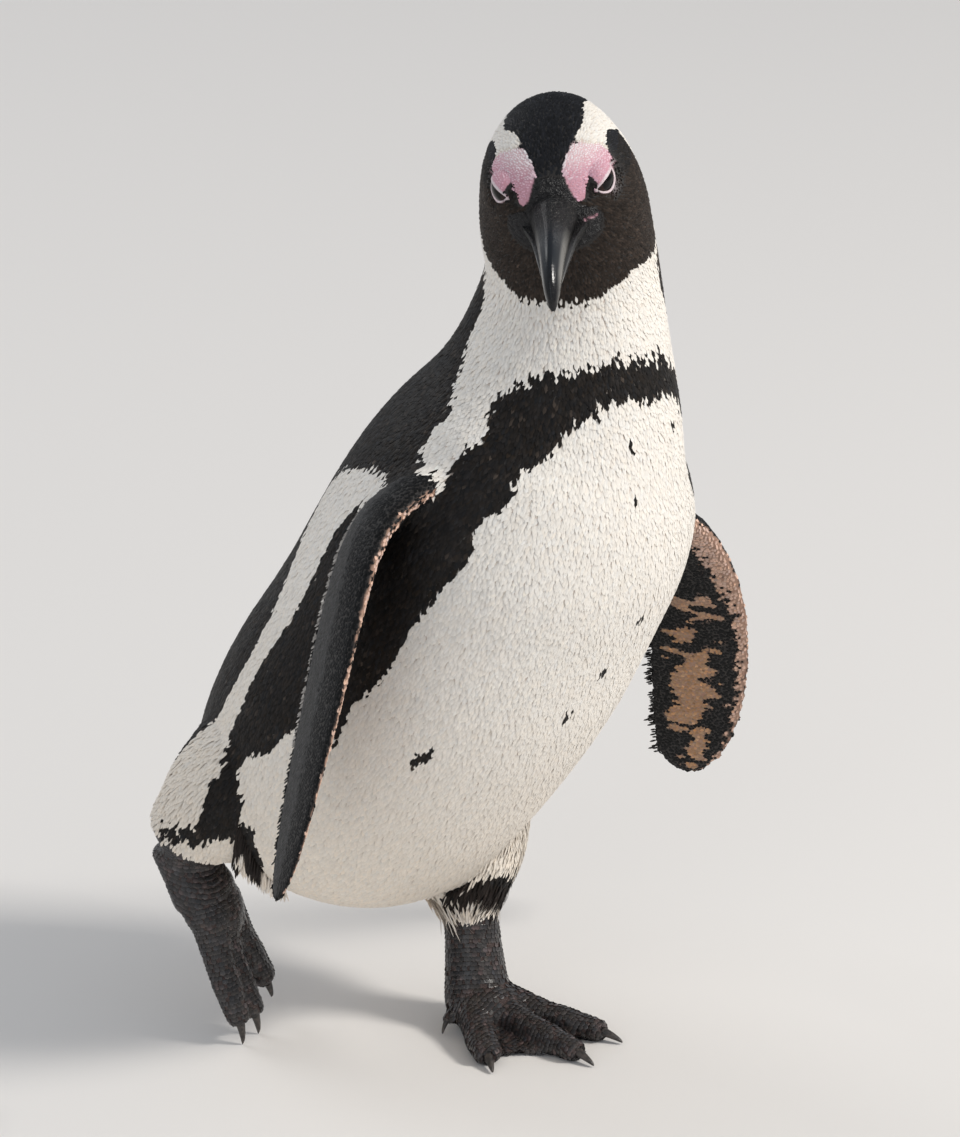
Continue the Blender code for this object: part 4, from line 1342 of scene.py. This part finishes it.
# %% Fringe along each wing's trailing edge
FRINGE_SPACING = 0.00105
for side in ("left", "right"):
    wing = f"wing_{side}"
    on_wing = np.flatnonzero(root_region == REGIONS.index(wing))
    share, across, _, _ = wing_place(wing, roots[on_wing])
    picked = on_wing[(across < 0.07) & (share > 0.07) & (share < 0.97)]
    picked = picked[spaced(roots[picked], np.full(len(picked), FRINGE_SPACING))]
    share, _, leading, out = wing_place(wing, roots[picked])
    count = len(picked)
    base, wobble = roots[picked], dice.normal(size=(count, 2)).clip(-2, 2)
    lie_of = unit(wing_axes(wing, share)[2] * (0.55 + 0.25 * share)[:, None] - leading)
    length, width = 0.0044 + 0.0007 * wobble[:, 0], np.full(count, 0.0013)
    course = (base + lie_of * (length / 2)[:, None], base + lie_of * length[:, None])
    pale = (share < 0.66) & (side == "right")
    shade = np.where(pale[:, None], tinted((0.34, 0.32, 0.30), 0.25, count),
                     tinted((0.010, 0.0095, 0.0095), 0.3, count))
    standing(f"wing_fringe_{side}", "wing", base, square_to(out, lie_of), lie_of, course, length, width,
             0.0001, 0.00030, np.full(count, REGIONS.index(wing)), shade)

# %% Longer feathers where the coat ends over the legs
for side in ("left", "right"):
    height, beside = beside_leg(roots, side)
    here = (root_region == REGIONS.index(f"shank_{side}")) & (height < 12) & (height > -2)
    if side == "right":
        below = (root_out[:, 2] < -0.12) & (root_out[:, 2] > -0.85)
        near_leg = np.hypot(*(roots - hock(side)[0])[:, :2].T) < 0.048
        here = (names == "trunk") & below & near_leg & (beside > 8)
    picked = np.flatnonzero(here)
    count = len(picked)
    base, out = roots[picked], root_out[picked]
    lie_of = unit(root_lie[picked] + out * 0.10 + 0.12 * dice.normal(size=(count, 3)))
    if side == "right":
        lie_of = unit(lie_of + np.array((0.0, 0.0, -0.8)))
        longer = 0.15 + 0.4 * clump[picked].clip(-0.5, 1)
    else:
        longer = 0.6 * step_between(0, -14, beside[picked])
    out = square_to(out, lie_of)
    length, width = (0.0085 + 0.002 * dice.random(count)) * (1 + longer), np.full(count, 0.0013)
    course = (base + lie_of * (length / 2)[:, None] + out * 0.0004, base + lie_of * length[:, None])
    dark = (kind[picked] == BLACK) | ((beside[picked] < 21 + 5 * clump[picked]) & (side == "right"))
    shade = np.where(dark[:, None], tinted((0.018, 0.013, 0.011), 0.3, count),
                     tinted((0.78, 0.71, 0.63), 0.06, count, 0.02))
    for colour, which in (("black", dark), ("white", ~dark)):
        if which.any():
            standing(f"{colour}_leg_fringe_{side}", colour, base[which], out[which], lie_of[which],
                     [places[which] for places in course], length[which], width[which], 0.0004, 0.0001,
                     root_region[picked][which], shade[which])

# %% [markdown]
# The skin shows bare round the eyes and bill and between the scales of the feet. Elsewhere it only
# has to be dark or light like the feathers over it. Its colours could be a painted picture, but they
# are stored on its points, which keeps them exactly on the lids and knobs.

# %% The skin's own finish
# In the order of KINDS
COLOURS = np.array([(0.012, 0.010, 0.009), (0.70, 0.64, 0.56), (0.62, 0.33, 0.40), (0.74, 0.63, 0.66),
                    (0.060, 0.040, 0.036), (0.40, 0.25, 0.18), (0.010, 0.0095, 0.0105)])
PALE_PINK = np.array((0.74, 0.55, 0.57))
colour = COLOURS[skin_kind]
paler = step_between(12, 19, place[:, 2])[:, None] * (skin_kind == PINK)[:, None]
colour = averaged(mix_of(colour, PALE_PINK, paler), ends, 1, 0.3)
paint = skin.data.color_attributes.new("hide", "FLOAT_COLOR", "POINT")
opaque = np.concatenate([colour, np.ones((len(colour), 1))], 1)
paint.data.foreach_set("color", opaque.ravel().astype(np.float32))
gloss = skin.data.attributes.new("gloss", "FLOAT", "POINT")
gloss.data.foreach_set("value", np.isin(skin_kind, (ROUGH, LEATHER)).astype(np.float32))
hide = Finish("skin", Specular_IOR_Level=0.4)
where = hide.place()
hide.feed("Roughness", hide.remap(hide.read("gloss", 2), 0, 1, 0.52, 0.30))
blotch = hide.remap(hide.speckle(where, 420, 3.0), 0.42, 0.62)
hide.feed("Base Color",
          hide.blend(blotch * 0.30, hide.read("hide", "Color"), (0.86, 0.62, 0.62, 1), "MULTIPLY"))
pores = hide.speckle(where, 1500, 3.0) + hide.speckle(where, 420, 2.0)
hide.bump(pores * hide.remap(hide.read("gloss", 2), 0, 1, 1.0, 3.0), 0.6, 0.0007)
skin.data.materials.clear()
skin.data.materials.append(hide.material)
skin.data.shade_smooth()
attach(skin, "root")
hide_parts(*FLESH)
print("the skin replaces", len(FLESH), "pieces")

# %% [markdown]
# Eyes: glossy balls under the lids, with a dark brown iris round a black pupil. A picture of an iris
# could be wrapped on the ball. Here every point knows how far it is turned from the ball's axis, and
# a ramp of colours reads that.

# %% Eyes
eye_finish = Finish("eye", Roughness=0.07, Specular_IOR_Level=0.18)
off = eye_finish.read("off_axis", 2)
eye_finish.feed("Base Color", eye_finish.node("ShaderNodeValToRGB", {"stops": (
    (0.0, (0.001, 0.001, 0.001)), (0.28, (0.001, 0.001, 0.001)), (0.31, (0.022, 0.010, 0.007)),
    (0.52, (0.013, 0.007, 0.005)), (0.62, (0.003, 0.002, 0.002)), (1.0, (0.02, 0.015, 0.014)))}, [off]))
for side, sign in (("left", 1), ("right", -1)):
    bm = bmesh.new()
    bmesh.ops.create_uvsphere(bm, u_segments=64, v_segments=48, radius=EYE_RADIUS / 1000)
    axis = (HEAD @ Vector((sign * EYE_OUT[0], EYE_OUT[1], EYE_OUT[2] - 0.20))).normalized()
    bmesh.ops.rotate(bm, verts=bm.verts, cent=(0, 0, 0), matrix=axis.to_track_quat("Z", "Y").to_matrix())
    centre = in_head(sign * EYE_CENTRE[0] / 1000, EYE_CENTRE[1] / 1000, EYE_CENTRE[2] / 1000)
    bmesh.ops.translate(bm, verts=bm.verts, vec=centre)
    ball = object_of(f"eyeball_{side}", mesh_of(bm, f"eyeball_{side}"))
    off_axis = ball.data.attributes.new("off_axis", "FLOAT", "POINT")
    turns = [(v.co - centre).angle(axis) / (math.pi / 2) for v in ball.data.vertices]
    off_axis.data.foreach_set("value", np.minimum(turns, 1).astype(np.float32))
    ball.data.shade_smooth()
    ball.data.materials.append(eye_finish.material)
    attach(ball, "root")
    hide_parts(f"eye_{side}")
    print(ball.name, "looks along", [round(part, 2) for part in axis])

# %% [markdown]
# The bill: two horn sheaths. The upper has a rounded ridge, a groove on each side of it, slit nostrils
# and a hooked tip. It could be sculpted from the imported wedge, but a row of circles, each drawn into
# shape and bridged to the next, keeps the long grooves clean and even.

# %% A body from bridged rings
def lofted(rings):
    bm = bmesh.new()
    loops = []
    for ring in rings:
        made = bmesh.ops.create_circle(bm, segments=len(ring), radius=1.0, cap_ends=False)["verts"]
        for v, point in zip(made, ring):
            v.co = point
        loops.append(list({e for v in made for e in v.link_edges}))
    for near, far in zip(loops, loops[1:]):
        bmesh.ops.bridge_loops(bm, edges=near + far)
    bmesh.ops.holes_fill(bm, edges=loops[0] + loops[-1], sides=0)
    bmesh.ops.recalc_face_normals(bm, faces=bm.faces)
    return bm

# %% The rings of both sheaths
# Forward from the head's centre, height of its back, of the mouth line, half width, in millimetres
UPPER_BILL = ((26, 6.6, -6.8, 12.0), (36, 6.4, -6.8, 10.9), (48, 4.5, -7.0, 8.3), (62, 2.2, -8.2, 6.1),
              (74, -1.2, -10.5, 4.8), (83, -6.4, -13.8, 3.5), (88.5, -12.5, -17.2, 1.9))
LOWER_BILL = ((26, -18.0, -8.6, 16.5), (36, -18.6, -8.2, 14.6), (44, -18.6, -7.8, 11.6),
              (52, -18.3, -7.8, 9.4), (64, -18.0, -8.8, 6.9), (74, -17.2, -10.8, 4.7),
              (80.5, -15.8, -13.0, 2.2))
BILL_TIPS = {"bill_upper": (0, 89.6, -18.4), "bill_lower": (0, 81.8, -14.7)}


MOUTH_GAP = 0.15  # half the gap between the sheaths


def bell(x, middle, width):
    return math.exp(-((x - middle) / width) ** 2)


def bill_rings(name, rows, count=46, sides=40):
    rings = []
    for n in range(count):
        forward, back, mouth, side = smooth_row(rows, (len(rows) - 1) * n / (count - 1))
        ring = []
        for k in range(sides):
            around = 360 * k / sides
            s, c = math.sin(math.radians(around)), math.cos(math.radians(around))
            from_ridge = min(abs(around - 90), 450 - around)
            if name == "bill_upper":
                lift = 0.40 * bell(from_ridge, 0, 14) - 0.42 * bell(from_ridge, 33, 8) * bell(forward, 54, 22)
                lift -= 0.75 * bell(from_ridge, 46, 7) * bell(forward, 50, 4.5)
                height = mouth + MOUTH_GAP + ((back - mouth) * s ** 0.8 if s >= 0 else 0.9 * s * s)
            else:
                lift = -0.35 * bell(from_ridge, 128, 9) * bell(forward, 58, 20)
                height = mouth - MOUTH_GAP + ((back - mouth) * (-s) ** 0.8 if s < 0 else 0.5 * s)
            out = Vector((c, 0, s))
            rough = 0.35 * noise.noise(Vector((c * 7, forward * 0.75, s * 7))) * bell(forward, 32, 18)
            point = Vector((side * c, forward, height)) + out * (lift + rough)
            ring.append(in_head(*(point / 1000)))
        rings.append(ring)
    tip = in_head(*(Vector(BILL_TIPS[name]) / 1000))
    last = sum(rings[-1], Vector()) / sides
    rings.append([tip + (point - last) * 0.35 for point in rings[-1]])
    return rings

# %% [markdown]
# The horn is black, with a pale band across the sides of both sheaths that fades towards the ridge. It
# is nearly polished at the tip, and flaky at the base. A painted picture could hold this. Here two
# numbers on each point steer it: how far along the bill it lies, and how near the ridge.

# %% The bill's finish
horn = Finish("bill_horn", Coat_Weight=0.12, Coat_Roughness=0.08, Specular_IOR_Level=0.28)
where = horn.place()
along = horn.read("along", 2)
ridge = horn.read("ridge", 2)
grain = horn.speckle(where, 900, 3.0)
band = horn.node("ShaderNodeValToRGB", {"stops": (
    (0.0, (0, 0, 0)), (0.30, (0, 0, 0)), (0.52, (1, 1, 1)), (0.80, (1, 1, 1)), (0.92, (0.15, 0.15, 0.15)),
    (1.0, (0, 0, 0)))}, [along])
dark = horn.blend(horn.remap(grain, 0.35, 0.7), (0.004, 0.004, 0.005, 1), (0.014, 0.0135, 0.014, 1))
pale = horn.node("ShaderNodeValToRGB", {"stops": (
    (0.0, (0.17, 0.165, 0.155)), (0.07, (0.075, 0.075, 0.075)), (0.15, (0.030, 0.031, 0.034)),
    (0.55, (0.015, 0.018, 0.023)), (0.78, (0.007, 0.009, 0.013)))}, [ridge])
mixed = horn.blend(band, dark, pale)
specks = horn.remap(horn.speckle(where, 1900, 1.0), 0.68, 0.74) * horn.remap(along, 0.50, 0.20)
horn.feed("Base Color", horn.blend(specks * 0.8, mixed, (0.30, 0.27, 0.24, 1)))
horn.feed("Roughness", horn.remap(along, 0.1, 0.75, 0.42, 0.20))
flakes = horn.speckle(where, 1300, 4.0) + horn.speckle(where, 600, 2.0)
horn.bump(flakes * horn.remap(along, 0.65, 0.15, 0.06, 1.0), 0.9, 0.0012)

# %% The sheaths themselves
BILL_FROM = 34  # millimetres forward, where the horn begins
LOWER_RIDGE = 0.12
for name, rows in (("bill_upper", UPPER_BILL), ("bill_lower", LOWER_BILL)):
    sheath = object_of(name.replace("bill", "bill_sheath"), mesh_of(lofted(bill_rings(name, rows)), name))
    place_of = head_place(points_of(sheath.data))
    half = np.interp(place_of[:, 1], *np.array(rows).T[[0, 3]])
    upper_ridge = np.clip(1 - np.abs(place_of[:, 0]) / half * 1.15, 0, 1)
    ridge_of = upper_ridge if name == "bill_upper" else np.full(len(place_of), LOWER_RIDGE)
    along_of = np.clip((place_of[:, 1] - BILL_FROM) / (rows[-1][0] - BILL_FROM), 0, 1)
    for title, values in (("along", along_of), ("ridge", ridge_of)):
        attribute = sheath.data.attributes.new(title, "FLOAT", "POINT")
        attribute.data.foreach_set("value", values.astype(np.float32))
    sheath.data.shade_smooth()
    sheath.data.materials.append(horn.material)
    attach(sheath, "root")
    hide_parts(name)
    print(sheath.name, len(sheath.data.polygons), "faces")

# %% [markdown]
# Claws are short, blunt and curved, of dark horn that is paler where it is worn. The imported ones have
# the right shape already, so they are only rounded by a subdivision.

# %% Claws
claw = Finish("claw_horn", Roughness=0.38, Specular_IOR_Level=0.5)
where = claw.place()
claw.feed("Base Color", claw.blend(claw.remap(claw.speckle(where, 500, 3.0), 0.4, 0.7),
                                   (0.020, 0.017, 0.016, 1), (0.085, 0.070, 0.060, 1)))
claw.bump(claw.speckle(where, 1400, 3.0), 0.4, 0.0005)
for name in sorted(frame["nodes"]):
    if name.startswith("claw"):
        nail = object_of(name.replace("claw", "nail"), mesh_of(merged_nodes([name]), name))
        finer = nail.modifiers.new("finer", "SUBSURF")
        finer.levels = finer.render_levels = 2
        nail.data.shade_smooth()
        nail.data.materials.append(claw.material)
        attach(nail, "root")
        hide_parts(name)
        print(nail.name)

# %% [markdown]
# Floor, light and camera. A bird this dark needs a large soft light and a bright room around it, so
# that its back doesn't sink into one black shape. One warm key light models it, a wide cool one opens
# the shadows, and one from behind picks out the edges of the feathers.

# %% Stage
bm = bmesh.new()
bmesh.ops.create_grid(bm, x_segments=1, y_segments=1, size=25.0)
floor = object_of("floor", mesh_of(bm, "floor"))
floor_finish = Finish("floor", Base_Color=(0.80, 0.775, 0.75, 1), Roughness=0.85)
floor.data.materials.append(floor_finish.material)

world = bpy.data.worlds.new("studio")
world.use_nodes = True
world.node_tree.nodes["Background"].inputs[0].default_value = (0.86, 0.90, 0.96, 1)
world.node_tree.nodes["Background"].inputs[1].default_value = 0.46
bpy.context.scene.world = world
bpy.context.scene.view_settings.view_transform = "Standard"


def lamp(name, place, aim, size, power, colour):
    light = bpy.data.lights.new(name, "AREA")
    light.energy, light.size, light.color = power, size, colour
    made = object_of(name, light)
    made.location = place
    made.rotation_euler = (Vector(aim) - Vector(place)).to_track_quat("-Z", "Y").to_euler()

# %% Lamps
lamp("key", (1.5, -2.1, 2.3), (0, 0, 0.22), 0.7, 80, (1.0, 0.965, 0.91))
lamp("fill", (-2.4, -1.2, 1.2), (0, 0, 0.25), 2.0, 10, (0.88, 0.94, 1.0))
lamp("rim", (-0.6, 2.2, 1.8), (0, 0, 0.3), 1.2, 14, (1.0, 1.0, 1.0))

# %% Camera
# Its right, upward and backward directions
right, upward = Vector((0.76604444, -0.64278761, 0.0)), Vector((0.24079248, 0.2869653, 0.92718385))
backward = Vector((-0.59598229, -0.71026404, 0.37460659))
lens = bpy.data.cameras.new("camera")
lens.lens, lens.sensor_fit, lens.sensor_height = 278.628, "VERTICAL", 36.0
lens.clip_end = 50
camera = object_of("camera", lens)
camera.location = (-2.37902566, -2.85945373, 1.72695524)
camera.rotation_euler = Matrix((right, upward, backward)).transposed().to_euler()
bpy.context.scene.camera = camera
print("camera", round(camera.location.length, 2), "m from the origin")

# %% Update the scene
bpy.context.view_layer.update()
